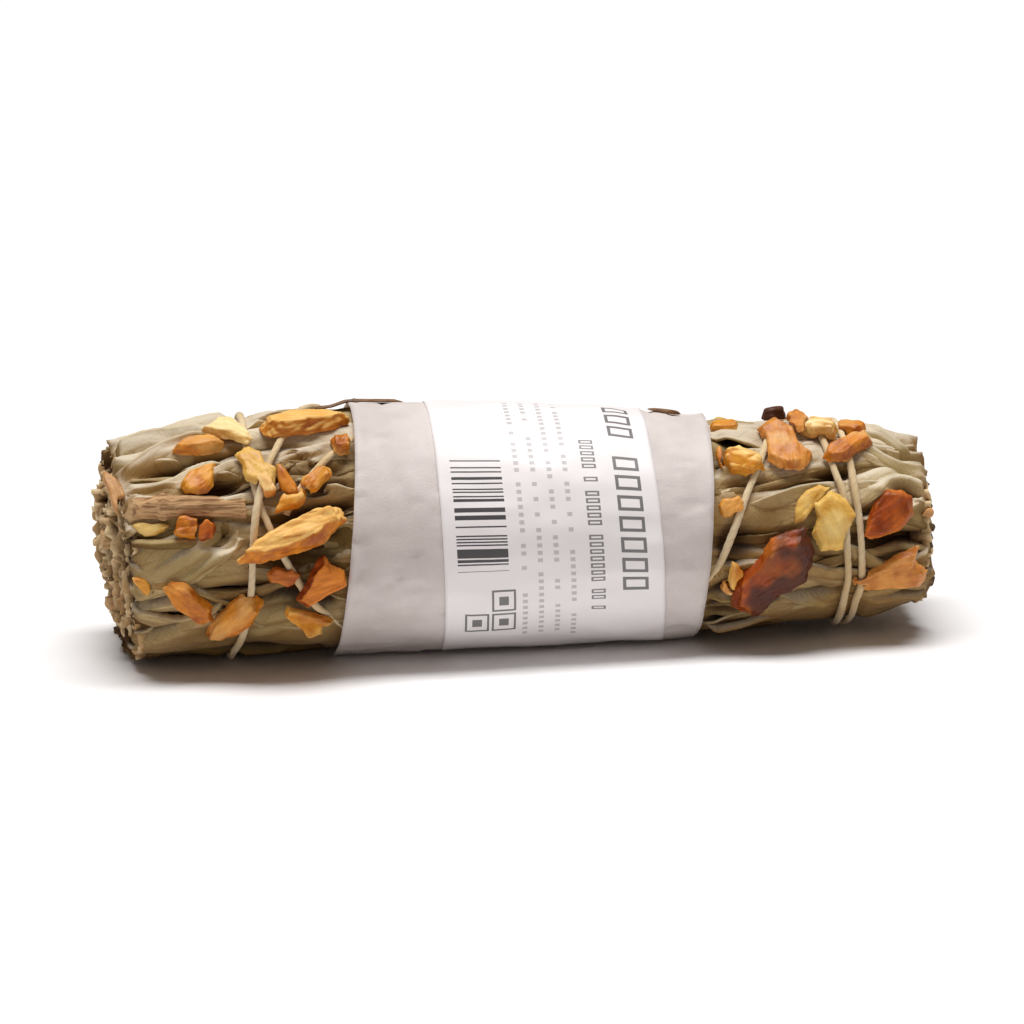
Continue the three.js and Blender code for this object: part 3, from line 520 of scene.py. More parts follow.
def pressed(points, clear=0.25):
    """Points of leaves, lowered towards the axis where a sliver lies on them."""
    inward = points * [0, 1, 1]
    inward[:, 2] -= axis_at(points[:, 0])
    inward /= -np.linalg.norm(inward, axis=1, keepdims=True)
    for sliver in SLIVERS:
        local = (points - sliver["middle"]) @ sliver["axes"].T
        length, width = sliver["half"][:2] + 0.5
        reach = np.hypot(local[:, 0] / length, local[:, 1] / width)
        excess = local[:, 2] + clear * sliver["half"][2]
        near = (reach < 1.5) & (np.abs(local[:, 2]) < 4)
        down = np.where(near, np.maximum(excess, 0) * (1 - ease(reach, 0.85, 1.5)), 0)
        points = points + inward * down[:, None]
    return points


# %% [markdown]
# ## Leaf
# White sage leaves are long, lance-shaped and felted, with a rib along the middle. Dried
# and pressed they curl across, wrinkle lengthwise and lie like shingles along the stick.
# One flat leaf is modelled: a sheet of squares whose middle row is raised to a rib and
# whose long edges are scalloped. Every leaf on the stick is a copy of it, bent onto the
# bundle by a formula with its own curl, folds and wrinkles. No leaf is alike. Narrow
# leaves, and those behind or mostly covered, are copies of a sheet with fewer squares.

# %% One flat leaf
def flat_leaf(along, across, name):
    sheet, u, v = flat_sheet(along, across, name)
    rib = 0.12 * np.exp(-((v / 0.09) ** 2)) * (1 - u)
    scallop = 1 + 0.025 * np.sin(60 * u) * (np.abs(v) > 0.99)
    return {"sheet": sheet, "u": u, "v": v, "rib": rib, "scallop": scallop}


FINE_LEAF = flat_leaf(80, 24, "fine_leaf")
PLAIN_LEAF = flat_leaf(52, 14, "plain_leaf")
print("flat leaf points:", len(FINE_LEAF["u"]), "and", len(PLAIN_LEAF["u"]))

# %% [markdown]
# ## Hollows
# In a few places leaves have shrunk apart and left deep dark hollows that show from the
# front; the leaves in them are also painted dark, a painted shade. Each is a long dent: its
# place, its length and width, its depth, and how much it slants round the stick along its
# length.

# %% Hollows
HOLLOWS = [
    {"x": -36.2, "phi": 41, "long": 2.8, "wide": 0.9, "deep": 3.2, "slant": 0.0},
    {"x": -43.6, "phi": -35, "long": 3.4, "wide": 0.6, "deep": 2.6, "slant": 1.2},
    {"x": -40.5, "phi": 57, "long": 4.0, "wide": 0.5, "deep": 2.2, "slant": 0.4},
    {"x": -43.8, "phi": -14, "long": 3.0, "wide": 0.5, "deep": 2.2, "slant": 0.6},
    {"x": -24.0, "phi": 23, "long": 3.4, "wide": 1.1, "deep": 3.0, "slant": 0.8},
    {"x": -25.5, "phi": -20, "long": 2.8, "wide": 0.7, "deep": 2.4, "slant": -1.0},
    {"x": 46.2, "phi": 34, "long": 1.6, "wide": 0.9, "deep": 3.4, "slant": 0.0},
    {"x": 45.5, "phi": 2, "long": 4.6, "wide": 0.6, "deep": 2.8, "slant": -0.5},
    {"x": 33.5, "phi": -31, "long": 5.0, "wide": 0.5, "deep": 2.0, "slant": 0.3},
    {"x": 25.2, "phi": 4, "long": 2.2, "wide": 2.2, "deep": 1.5, "slant": 0.0},
    {"x": 26.4, "phi": -22, "long": 3.0, "wide": 0.9, "deep": 2.2, "slant": 0.4},
    {"x": 25.6, "phi": -44, "long": 2.6, "wide": 0.8, "deep": 1.8, "slant": -0.4},
    {"x": 24.2, "phi": -36, "long": 2.0, "wide": 2.6, "deep": 1.1, "slant": 0.0},
    {"x": 41.5, "phi": 20, "long": 3.0, "wide": 0.5, "deep": 1.4, "slant": 0.5},
    {"x": -29.5, "phi": 8, "long": 3.0, "wide": 0.5, "deep": 1.4, "slant": -0.6},
    {"x": 37.8, "phi": 44, "long": 2.4, "wide": 0.5, "deep": 1.6, "slant": 0.5},
    {"x": 48.5, "phi": 62, "long": 2.4, "wide": 0.5, "deep": 2.0, "slant": 0.5},
]


def sunk(x, phi):
    """How much deeper the leaves lie in a hollow."""
    depth = 0 * x
    for dent in HOLLOWS:
        turned = (phi - dent["phi"] + 180) % 360 - 180
        along = (x - dent["x"]) / dent["long"]
        across = (np.radians(turned) * radius_at(x) - dent["slant"] * along) / dent["wide"]
        depth = depth + dent["deep"] * np.exp(-(along ** 2) - across ** 2)
    return depth


# %% [markdown]
# ## Where a leaf lies
# A leaf starts at a cut end and runs inwards. `phi` is where it leaves the end, `drift`
# how far it wanders round the stick and `reach` its length. The cut ends bulge and lean a
# little, as the knife left them, and each leaf was torn ragged there.

# %% Where a leaf lies
ENDS = {
    "left": {"side": -1, "x": -50.1, "bulge_y": 0.0172, "bulge_z": 0.0172, "slant": -0.1, "lean": -0.05},
    "right": {"side": 1, "x": 50.2, "bulge_y": 0.004, "bulge_z": 0.011, "slant": 0.0, "lean": 0.0},
}
SLIM = 0.9  # leaves are drawn this much narrower than their room, so that gaps open


def end_x(end, y, h):
    """Where a cut end lies, at y and a height h above the axis."""
    bulge = end["bulge_y"] * y * y + end["bulge_z"] * h * h
    return end["x"] - end["side"] * bulge + end["slant"] * y + end["lean"] * h


def rim_x(end, phi):
    r = radius_at(end["x"]) - 0.75
    return end_x(end, -r * np.cos(np.radians(phi)), r * np.sin(np.radians(phi)))


def leaf_places(leaf, kind, end, number):
    """x and phi of each corner of a leaf, its place on the flat leaf, and its sag by the curl."""
    u, v = kind["u"], kind["v"]
    draw = lambda k: chance(number, k)
    half = leaf["width"] / 2 * kind["scallop"] * SLIM
    half = half * mix(0.86, 1, ease(u, 0, 0.3)) * (1 - leaf.get("point", 0.8) * ease(u, 0.5, 1) ** 2)
    flat = np.stack([u * leaf["reach"], v * half, 0 * u], -1)
    curl = leaf.get("curl", mix(0.25, 0.6, draw(11)))
    across = half * np.sin(curl * v) / curl + 1.4 * np.sin(5.2 * u + 6.3 * draw(9))
    across = across + 0.6 * rough(flat, (6, 30, 1), number + 7) * v * v
    sag = half * (1 - np.cos(curl * v)) / curl
    cut = rim_x(end, leaf["phi"]) + end["side"] * mix(-0.7, 0.25, draw(10))
    ragged = 0.35 * rough(flat, (90, 1.1, 1), number) + 1.1 * rough(flat, (90, 4, 1), number + 2)
    x = cut - end["side"] * (leaf["reach"] * u + ragged * (1 - ease(u, 0, 0.06)))
    phi = leaf["phi"] + leaf["drift"] * u + np.degrees(across / radius_at(x))
    return x, phi, flat, sag


# %% [markdown]
# ## How high a leaf stands
# `lift` is a leaf's height, `lean` how far one long edge stands up, and `cup` how much
# its middle is raised. A pressed leaf lies in rounded folds with sharp creases between
# them: `folds` is how many lie side by side and `height` how high they stand. Its edges
# roll under, which leaves dark gaps between one leaf and the next, or one of them stands
# free and shows its pale rim. At the cut end it was crushed, so it folds in over the rim.

# %% How high a leaf stands
EDGE_ROLL = 1.25  # how far an edge rolls under, in mm
FREE_ROLL = -0.1  # a free edge turns up by this share of it instead


def pleats(flat, u, v, number, folds):
    """Rounded folds side by side, with sharp creases between them."""
    draw = lambda k: chance(number + 31, k)
    sway = mix(-0.35, 0.35, draw(1)) * u + 0.22 * np.sin(mix(3, 7, draw(2)) * u + 6 * draw(3))
    place = folds * (v + 1) / 2 + sway + 0.5 * rough(flat, (11, 6, 1), number + 70) + draw(4)
    strong = 0.75 + 1.1 * rough(flat, (9, 5, 1), number + 80)
    return strong * (np.abs(np.sin(np.pi * place)) - 0.62)


def free_side(leaf, v, number):
    """Whether each corner is on a side whose long edge stands free of its neighbours."""
    side = 1 if chance(number, 15) < 0.5 else -1
    return (v * side > 0) & (chance(number, 16) < 0.75) & (leaf["width"] > 4)


def leaf_stand(leaf, kind, flat, sag, free, number):
    """How far each corner stands over the bundle before anything presses on it."""
    u, v = kind["u"], kind["v"]
    draw = lambda k: chance(number, k)
    rolled = EDGE_ROLL * ease(np.abs(v), 0.78, 1.04) ** 1.5 * np.where(free, FREE_ROLL, 1)
    crushed = np.maximum(mix(0.2, 1.5, draw(12)) + 2.2 * rough(flat, (90, 2.0, 1), number + 4), 0)
    folded_in = crushed * (1 - ease(flat[:, 0], 0, 1.2)) ** 1.5
    wave = 0.05 + 0.2 * np.sin(7 * u + 6.3 * draw(9) + 1.5 * v)
    lumps = 0.7 * rough(flat, (9, 4.5, 1), number) + 0.25 * rough(flat, (4.5, 1.0, 1), number + 60)
    folds = leaf.get("height", 0.5) * pleats(flat, u, v, number, leaf.get("folds", 1.4))
    shape = leaf["lift"] + 1.2 * leaf["lean"] * v + leaf["cup"] * 0.8 * (0.4 - v * v) - 0.45 * sag
    return shape - rolled - folded_in + wave + lumps + folds + kind["rib"] * 0.6


# %% [markdown]
# ## Laying a leaf
# The string, the band and the slivers press a leaf down, its tip dips between the others,
# and the table flattens it. What the finish needs to know of each place is kept with it:
# the leaf's own tone, its edges and rims, and how deep it lies, which is painted as shade.

# %% Laying a leaf
FLOOR_LEAVES = 0.15
LEAF_THICK = 0.32
TIP_DIP = 1.6


def pressed_in(stand, x, phi):
    """A leaf's height once the string, the band and the hollows have had their way."""
    gap = string_gap(x, phi)
    limit = -0.15 + 0.25 * gap * gap
    stand = np.where(stand > limit, limit + 0.16 * (stand - limit), stand)
    stand = mix(stand, np.minimum(stand, 0) * 0.3 - 0.1, tucked(x, phi))
    return stand - sunk(x, phi)


def lay_leaf(leaf, end, number, name):
    """One leaf in its place, with the marks that its finish reads."""
    kind = PLAIN_LEAF if leaf.get("plain") else FINE_LEAF
    piece = copy_of(kind["sheet"], name)
    u, v = kind["u"], kind["v"]
    x, phi, flat, sag = leaf_places(leaf, kind, end, number)
    free = free_side(leaf, v, number)
    stand = leaf_stand(leaf, kind, flat, sag, free, number)
    stand = pressed_in(stand - TIP_DIP * ease(u, 0.8, 1) * (1 - tucked(x, phi)), x, phi)
    points = pressed(around(x, phi, stand))
    points[:, 2] = np.maximum(points[:, 2], FLOOR_LEAVES + 0.02 * chance(number, 3))
    set_points(piece, points)
    set_uv(piece, flat[:, 0], flat[:, 1])
    store(piece, "tone", leaf.get("tone", 1.4 * chance(number, 13)))
    store(piece, "olive", chance(number, 14))
    at_cut = 1 - ease(flat[:, 0], 0, 1.6)
    store(piece, "edge", np.maximum(ease(np.abs(v), 0.8, 1) * ~free, 2 * at_cut))
    store(piece, "rim", ease(np.abs(v), 0.86, 0.97) * free * ease(flat[:, 0], 0.6, 1.6))
    # painted shade: the lower a leaf lies, the darker it is painted
    store(piece, "deep", 1 - ease(stand, -1.45, -0.15))
    apply(piece, "SOLIDIFY", thickness=LEAF_THICK * MM, offset=end["side"])
    solid = points_of(piece)
    solid[:, 2] = np.maximum(solid[:, 2], 0.01)  # the table
    set_points(piece, solid)
    return piece


# %% [markdown]
# ## Outer leaves
# The leaves that show from the front are set one by one as they lie on the real stick. On
# the far side the same kinds of leaf follow a rule, as nobody can see how they lie.

# %% Outer leaves
def leaf(phi, drift, reach, width, lift, lean, cup, **more):
    return dict(phi=phi, drift=drift, reach=reach, width=width, lift=lift, lean=lean, cup=cup, **more)


LEAVES = {
    "left": [
        leaf(-58, 20, 41, 10.5, -0.05, 0.8, 0.3, folds=0.9, height=0.3),
        leaf(-34, 4, 30, 7.5, -0.45, -0.6, 0.4, folds=2.6, height=0.85, tone=1.8),
        leaf(-22, -2, 14, 4.2, 0.05, 0.5, 0.6, folds=1.4, height=0.5, tone=2.6),
        leaf(3, 8, 15, 7.0, 0.15, -0.65, 0.9, folds=1.8, height=0.9, tone=2.0),
        leaf(-4, 16, 36, 11.0, -0.3, 0.3, 0.1, folds=1.2, height=0.22, tone=1.6),
        leaf(18, 18, 33, 7.5, -0.45, 0.6, 0.4, folds=1.6, height=0.5),
        leaf(43, 8, 13, 5.4, 0.2, 0.55, 0.6, folds=0.9, height=0.35, tone=2.2),
        leaf(54, 0, 34, 6.5, -0.3, -0.6, 0.6, folds=2.0, height=0.7),
        leaf(66, 12, 17, 5.0, 0.3, 0.5, 1.1, folds=0.8, height=0.3, tone=1.6),
        leaf(76, -6, 38, 8.0, -0.2, 0.5, 0.5, folds=1.8, height=0.6),
        leaf(92, 8, 24, 6.4, 0.15, -0.6, 0.6, folds=1.5, height=0.5),
        leaf(58, -9, 16, 2.4, 0.75, 0.2, 0.5, curl=1.6, folds=0.6, height=0.1),
        leaf(36, 4, 22, 2.6, 0.45, -0.2, 0.5, curl=1.6, folds=0.6, height=0.1),
        leaf(80, 7, 20, 2.8, 0.55, 0.2, 0.5, curl=1.6, folds=0.7, height=0.1),
        leaf(-11, -6, 15, 2.6, 0.35, 0.3, 0.4, curl=1.5, folds=0.7, height=0.1),
        leaf(57, 10, 16, 4.4, 0.55, 0.9, 0.2, folds=0.5, height=0.15, plain=True),
        leaf(71, 8, 15, 4.2, 0.6, 0.9, 0.2, folds=0.5, height=0.15, plain=True),
        leaf(82, 9, 18, 4.6, 0.5, 0.9, 0.2, folds=0.5, height=0.15, plain=True),
        leaf(-27, 6, 12, 3.4, 0.35, 0.8, 0.3, folds=0.6, height=0.2, tone=2.6, plain=True),
        leaf(-41, 9, 17, 4.0, 0.2, 0.9, 0.2, folds=0.6, height=0.2, tone=1.6, plain=True),
        leaf(27, 6, 21, 3.2, 0.2, -0.8, 0.3, folds=0.6, height=0.15, tone=1.2, plain=True),
        leaf(47, 3, 24, 2.8, 0.3, 0.8, 0.3, folds=0.5, height=0.15, tone=0.6, plain=True),
    ],
    "right": [
        leaf(-62, 2, 36, 7.5, -0.2, 0.6, 0.3, folds=1.3, height=0.4),
        leaf(-44, 4, 33, 6.0, -0.05, 0.6, 0.4, folds=1.7, height=0.6),
        leaf(-27, 6, 35, 6.0, -0.05, 0.55, 0.5, folds=1.4, height=0.5),
        leaf(-8, 2, 30, 5.5, -0.3, -0.4, 0.4, folds=1.6, height=0.5),
        leaf(14, 12, 36, 9.5, -0.1, 0.5, 0.3, folds=1.3, height=0.35),
        leaf(38, -6, 15, 6.2, 0.25, -0.55, 0.9, folds=2.0, height=0.9, tone=2.4),
        leaf(50, -8, 32, 7.0, -0.15, 0.6, 0.5, folds=1.4, height=0.3),
        leaf(64, -2, 14, 4.6, 0.25, 0.5, 0.7, folds=3.2, height=0.7),
        leaf(76, 2, 33, 7.5, -0.2, -0.5, 0.4, folds=2.8, height=0.6),
        leaf(90, 4, 20, 5.6, 0.15, 0.5, 0.6, folds=1.8, height=0.6),
        leaf(27, -5, 16, 2.6, 0.6, 0.2, 0.5, curl=1.6, folds=0.7, height=0.1),
        leaf(56, 10, 13, 2.4, 0.7, -0.2, 0.5, curl=1.6, folds=0.7, height=0.1),
        leaf(70, -5, 9, 2.2, 0.75, 0.2, 0.4, curl=1.6, folds=0.7, height=0.1),
        leaf(-35, -3, 26, 2.6, 0.4, 0.2, 0.5, curl=1.6, folds=0.7, height=0.1),
        leaf(47, 16, 11, 3.6, 0.5, 0.9, 0.2, folds=0.5, height=0.15, tone=1.8, plain=True),
        leaf(56, 16, 11, 3.4, 0.6, 0.9, 0.2, folds=0.5, height=0.15, plain=True),
        leaf(64, 15, 12, 3.6, 0.6, 0.9, 0.2, folds=0.5, height=0.15, tone=1.2, plain=True),
        leaf(73, 14, 12, 3.8, 0.5, 0.9, 0.2, folds=0.5, height=0.15, plain=True),
        leaf(-14, 6, 13, 3.6, 0.4, 0.8, 0.2, folds=0.5, height=0.15, plain=True),
        leaf(-20, 3, 31, 3.2, 0.25, 0.9, 0.2, folds=0.6, height=0.15, tone=0.4, plain=True),
        leaf(-36, 4, 31, 3.0, 0.25, -0.9, 0.2, folds=0.6, height=0.15, tone=1.0, plain=True),
        leaf(-52, 3, 31, 3.4, 0.3, 0.9, 0.2, folds=0.6, height=0.15, tone=0.3, plain=True),
        leaf(25, 5, 24, 3.2, 0.25, 0.8, 0.2, folds=0.6, height=0.15, tone=1.5, plain=True),
        leaf(62, -5, 29, 3.0, 0.1, 0.3, 0.4, folds=0.6, height=0.1, tone=1.0, plain=True),
    ],
}
HIDDEN_LEAVES = {"count": 7, "from": 106, "to": 284}


def ruled_leaves(end):
    """The far side's leaves, by the same rule as in the solid model."""
    rows = []
    for i in range(HIDDEN_LEAVES["count"]):
        draw = lambda k: chance(i + 20 * (end["side"] + 2), k)
        slot = (i + 0.3 + 0.4 * draw(1)) / HIDDEN_LEAVES["count"]
        short = i % 3 == 1
        rows.append(leaf(
            mix(HIDDEN_LEAVES["from"], HIDDEN_LEAVES["to"], slot),
            mix(-10, 10, draw(2)),
            mix(14, 20, draw(3)) if short else mix(31, 33, draw(3)),
            mix(5.4, 7.2, draw(4)) if short else mix(9, 11, draw(4)),
            0.1 if short else mix(-0.45, -0.15, draw(5)),
            (-1 if draw(6) < 0.5 else 1) * mix(0.45, 0.65, draw(7)),
            mix(0.2, 0.7, draw(8)),
            folds=mix(0.9, 2.2, draw(9)),
            height=mix(0.3, 0.8, draw(12)),
            plain=True,
        ))
    return rows


outer = {}
for e, (which, end) in enumerate(ENDS.items()):
    rows = LEAVES[which] + ruled_leaves(end)
    outer[which] = [
        lay_leaf(row, end, 100 * e + i, f"{which}_leaf_{i + 1}") for i, row in enumerate(rows)
    ]
    print(which, "outer leaves:", len(rows))

# %% [markdown]
# ## Packed leaves below
# Between the outer leaves one looks onto more leaves, packed tight. A second layer, set
# close all round and lower, gives every gap something real to show. Its finish is a darker
# copy of the outer leaves' one, a painted shade. Thin rolled leaves lie in the joints of
# this layer, as dried leaves roll up when they are narrow.

# %% Packed leaves below
LOWER = {"count": 13, "lift": -1.15, "width": 8.6, "rolls": 9}


def under_leaves(end, start):
    rows = []
    for i in range(LOWER["count"]):
        draw = lambda k: chance(start + i, k)
        phi = 360 / LOWER["count"] * (i + 0.5 * draw(1))
        lean = 0.5 if i % 2 else -0.5
        rows.append(leaf(phi, mix(-8, 8, draw(2)), mix(31, 36, draw(3)), LOWER["width"],
                         LOWER["lift"] + 0.3 * draw(4), lean, 0.3, point=0.3, folds=2.2, height=0.8,
                         plain=True))
    for i in range(LOWER["rolls"]):
        draw = lambda k: chance(start + 40 + i, k)
        phi = 360 / LOWER["rolls"] * (i + 0.8 * draw(1))
        rows.append(leaf(phi, mix(-12, 12, draw(2)), mix(18, 32, draw(3)), mix(2.4, 3.8, draw(4)),
                         mix(-0.2, 0.25, draw(5)), 0.1, 0.3, point=0.5, folds=0.8, height=0.2, curl=2.0,
                         plain=True))
    return rows


under = {}
for e, (which, end) in enumerate(ENDS.items()):
    start = 400 + 100 * e
    under[which] = [
        lay_leaf(row, end, start + i, f"{which}_under_{i + 1}")
        for i, row in enumerate(under_leaves(end, start))
    ]
    print(which, "leaves below:", len(under[which]))

# %% [markdown]
# ## Cut ends
# The ends were cut through all the leaves at once, so a cut end shows layer on layer of
# crumpled edges, each like a strip of crinkled card. Each strip is a narrow sheet bent
# along a ring round the stick's axis, with fine crinkles, its outer edge torn ragged and
# pale in places. Rings from the rim to the middle, in a few strips each, fill the end.

# %% Cut ends
strip_sheet, STRIP_U, STRIP_V = flat_sheet(36, 3, "flat_strip")
STRIPS = {"depth": 2.6, "pitch": 0.8, "length": 9.0, "thick": 0.44}


def edge_strip(end, ring, start, share, number, rim, name):
    """One crinkled strip along a ring of that radius, from start over a share of the turn."""
    draw = lambda k: chance(number, k)
    span = share * mix(0.75, 1.1, draw(2))
    turn = start + span * STRIP_U
    along = np.radians(span * STRIP_U) * ring
    flat = np.stack([along, 0 * along, 0 * along], -1)
    beat = along * 2 * math.pi / mix(1.6, 4.2, draw(3)) + 6 * rough(flat, 3.0, number + 5)
    strong = 0.32 + 0.7 * rough(flat, 3.0, number + 8)
    crinkle = strong * np.sin(beat + 6.3 * draw(4)) + 0.45 * rough(flat, 0.8, number + 6)
    wander = 1.5 * rough(flat, 5.0, number) + mix(-0.25, 0.25, draw(5))
    r = np.maximum(ring + crinkle * ease(STRIP_V, -1.6, 1) + wander, 0.15)
    y, h = -r * np.cos(np.radians(turn)), r * np.sin(np.radians(turn))
    torn = 0.7 * rough(flat, 1.0, number + 9) + 0.8 * rough(flat, 4, number + 3)
    torn = torn + mix(-1.2, 0.0, draw(6))
    if rim:
        torn = 0.6 * torn + 0.2
    inward = (1 - STRIP_V) / 2 * STRIPS["depth"] * (0.5 if rim else 1)
    x = end_x(end, y, h) + end["side"] * (torn * ease(STRIP_V, -1, 1) - inward - 0.15)
    z = np.maximum(axis_at(end["x"]) + h, FLOOR_LEAVES)
    piece = copy_of(strip_sheet, name)
    set_points(piece, np.stack([x, y, z], -1))
    set_uv(piece, along, inward)
    pale = ease(rough(flat, 2.0, number + 12), -0.2, 0.25)
    marks = {"tone": draw(7), "olive": 0.3, "edge": 0.0, "rim": 1.6 * ease(STRIP_V, 0.3, 1) * pale}
    for mark, values in marks.items():
        store(piece, mark, values)
    # painted shade: the further into the cut end, the darker it is painted
    store(piece, "deep", 1 - ease(torn - inward, -2.2, 0.2))
    apply(piece, "SOLIDIFY", thickness=STRIPS["thick"] * MM, offset=0)
    return piece


def cut_edges(which, end):
    """Rings of strips from the rim of a cut end to its middle."""
    outermost = float(radius_at(end["x"])) - 0.55
    pieces = []
    number = 700 + 300 * (end["side"] + 1)
    ring = outermost
    while ring > 0.6:
        count = max(1, round(2 * math.pi * ring / STRIPS["length"]))
        share = 360 / count
        offset = 360 * chance(number, 1)
        for i in range(count):
            number += 1
            rim = ring > outermost - 0.5
            name = f"{which}_edge_{number}"
            pieces.append(edge_strip(end, ring, offset + share * i, share, number, rim, name))
        ring -= STRIPS["pitch"] * mix(0.9, 1.1, chance(number, 8))
    return pieces


edges = {which: cut_edges(which, end) for which, end in ENDS.items()}
print("cut edges:", {which: len(strips) for which, strips in edges.items()})

# %% [markdown]
# ## Core
# Deep inside, the leaves lie in shade. A plain closed roll a little under the lower
# leaves keeps light from shining through, and it is painted nearly dark, a painted shade.
# It starts as a cylinder and takes the bundle's radius at every place. Its ends follow
# the cut ends, a little deeper.

# %% Core
CORE_HALF = 50  # half its length before its ends follow the cut ends
CORE_DEPTH = 2.1  # how far it stays inside the bundle's surface
CORE_SHORT = 1.5  # and behind each cut end
take_none()
bpy.ops.mesh.primitive_cylinder_add(vertices=48, radius=1, depth=2, end_fill_type="TRIFAN")
core = bpy.context.object
core.name = core.data.name = "sage_core"
bpy.ops.object.mode_set(mode="EDIT")
bpy.ops.mesh.select_all(action="SELECT")
bpy.ops.mesh.subdivide(number_cuts=7)
bpy.ops.object.mode_set(mode="OBJECT")
shape = points_of(core) * MM
reach = np.hypot(shape[:, 0], shape[:, 1])
x = shape[:, 2] * CORE_HALF
r = reach * (radius_at(x) - CORE_DEPTH)
bearing = np.arctan2(shape[:, 1], shape[:, 0])
y, h = -r * np.cos(bearing), r * np.sin(bearing)
x = np.maximum(x, end_x(ENDS["left"], y, h) + CORE_SHORT)
x = np.minimum(x, end_x(ENDS["right"], y, h) - CORE_SHORT)
set_points(core, np.stack([x, y, axis_at(x) + h], -1))
for mark in ("tone", "olive", "edge", "rim", "top", "low"):
    store(core, mark, 0.0)
# painted shade: the core is painted nearly dark
store(core, "deep", 0.85)
outward(core)
print("core length:", round(float(np.ptp(x)), 1), "mm")

# %% [markdown]
# ## Sage finish
# Dried white sage is felted and dull. Faces turned up are painted pale and nearly grey, a
# painted top light; faces turned down are painted browner, a painted underside shade; and
# places that lie deep, in folds, hollows and the cut ends, are painted dark, a painted
# shade. Its edges are browner. The colour wanders over each leaf and from leaf to leaf,
# some of it towards olive. Short felt hairs scatter light at the rim, which the sheen
# gives. The relief is wrinkles along the leaf, a fine net, veins and the felt. The three
# finishes differ only in their colours; the packed leaves' one is a darker copy, a painted
# shade.

# %% Sage finish
def sage_look(name, painted_top_light, pale, body, worn_and_painted_shade):
    """Felted leaf in four colours: a painted top light, pale, ordinary, and worn brown that also paints
    underside shade.
    """
    look = Look(name, {"Roughness": 0.95, "Sheen Weight": 0.05, "Specular IOR Level": 0.1})
    place, uv = look.place(), look.uv()
    tone, edge, deep = look.attribute("tone"), look.attribute("edge"), look.attribute("deep")
    wander = look.grain(place, 5.0, 3)
    colour = look.blend(wander.step(0.33, 0.67) * 0.25 + tone * 0.22, body, pale)
    green = look.grain(look.shifted(place, (40, 0, 0)), 9.0, 2).step(0.4, 0.65)
    colour = look.blend(green * look.attribute("olive") * 0.5, colour, OLIVE)
    streak = look.grain(look.scaled(uv, 0.12, 1.1, 1), 1.0, 4).step(0.5, 0.72)
    colour = look.blend(streak * 0.4, colour, worn_and_painted_shade)
    fleck = look.grain(place, 0.5, 3).step(0.62, 0.76)
    colour = look.blend(fleck * 0.3, colour, worn_and_painted_shade)
    colour = look.blend(edge * 0.25, colour, worn_and_painted_shade)
    # painted top light: faces turned up are painted in the pale top colour
    colour = look.blend(look.attribute("top") * 0.62, colour, painted_top_light)
    # painted shade: faces turned down are painted towards worn brown
    colour = look.blend(look.attribute("low") * 0.6, colour, worn_and_painted_shade)
    colour = look.blend(look.attribute("rim") * 0.4, colour, pale)
    # painted shade: places that lie deep are painted dark
    colour = look.blend(deep * 0.85, colour, PAINTED_SHADE_DARK)
    look.set("Base Color", colour)
    net = look.node("TexVoronoi", {"Vector": uv, "Scale": 1.1}, "Distance", feature="DISTANCE_TO_EDGE")
    run, side, _ = look.parts(uv)
    veins = ((run - side.abs() * 1.1) / 2.3 + wander * 0.5).fract().step(0.0, 0.12)
    wrinkles = look.grain(look.scaled(uv, 0.25, 1.0, 1), 1.0, 3)
    felt = look.grain(place, 0.13, 2)
    look.bump(wrinkles * 0.5 + net.step(0.0, 0.25) * 0.1 + veins * 0.14 + felt * 0.12, 0.4, 0.8)
    return look.material


def mark_painted_light_by_facing(piece):
    """Keeps how much each place of a piece faces up, for the painted top light, and down, for the
    painted underside shade.
    """
    store(piece, "top", ease(normals_of(piece)[:, 2], 0.3, 0.98))
    store(piece, "low", ease(-normals_of(piece)[:, 2], 0.0, 0.8))


# The darkest brown is painted shade for places that lie deep. Each set of four is: painted top light,
# pale, body, and worn brown that also paints underside shade. The packed leaves' set is a darker copy of
# the outer one, a painted shade.
PAINTED_SHADE_DARK = srgb(58, 31, 8)
OLIVE = srgb(142, 128, 70)
OUTER = (srgb(230, 222, 204), srgb(216, 196, 150), srgb(150, 110, 54), srgb(112, 74, 30))
PACKED_SHADED = (srgb(196, 174, 130), srgb(184, 158, 108), srgb(110, 76, 36), srgb(82, 52, 19))
CUT = (srgb(238, 212, 168), srgb(244, 222, 178), srgb(196, 153, 102), srgb(156, 110, 64))
OUTER_SAGE, PACKED_SHADED_SAGE = sage_look("sage_felt", *OUTER), sage_look("sage_under_painted_shade", *PACKED_SHADED)
CUT_SAGE = sage_look("sage_cut", *CUT)
LAYERS = (
    ("sage_outer_leaves_", outer, OUTER_SAGE),
    ("sage_packed_leaves_", under, PACKED_SHADED_SAGE),
    ("sage_cut_edges_", edges, CUT_SAGE),
)
for which in ENDS:
    for name, parts, look in LAYERS:
        piece = join(parts[which], name + which)
        mark_painted_light_by_facing(piece)
        finish(piece, look, "sage_leaf", "sage_bundle")
finish(core, PACKED_SHADED_SAGE, "sage_leaf", "sage_bundle")
for spare in (FINE_LEAF["sheet"], PLAIN_LEAF["sheet"], strip_sheet):
    bpy.data.objects.remove(spare)

# %% [markdown]
# ## Twigs
# Sage stems are woody, with thin grey-brown bark and fine grain along them. Their solids
# have the right shape, so each is copied, its loose triangles merged, remeshed finely
# and given grain, knobs and a dry splintered cut.

# %% Twigs
KNOTS = (-42.6, -31.5)  # where side shoots left a thickening, in mm along the stick


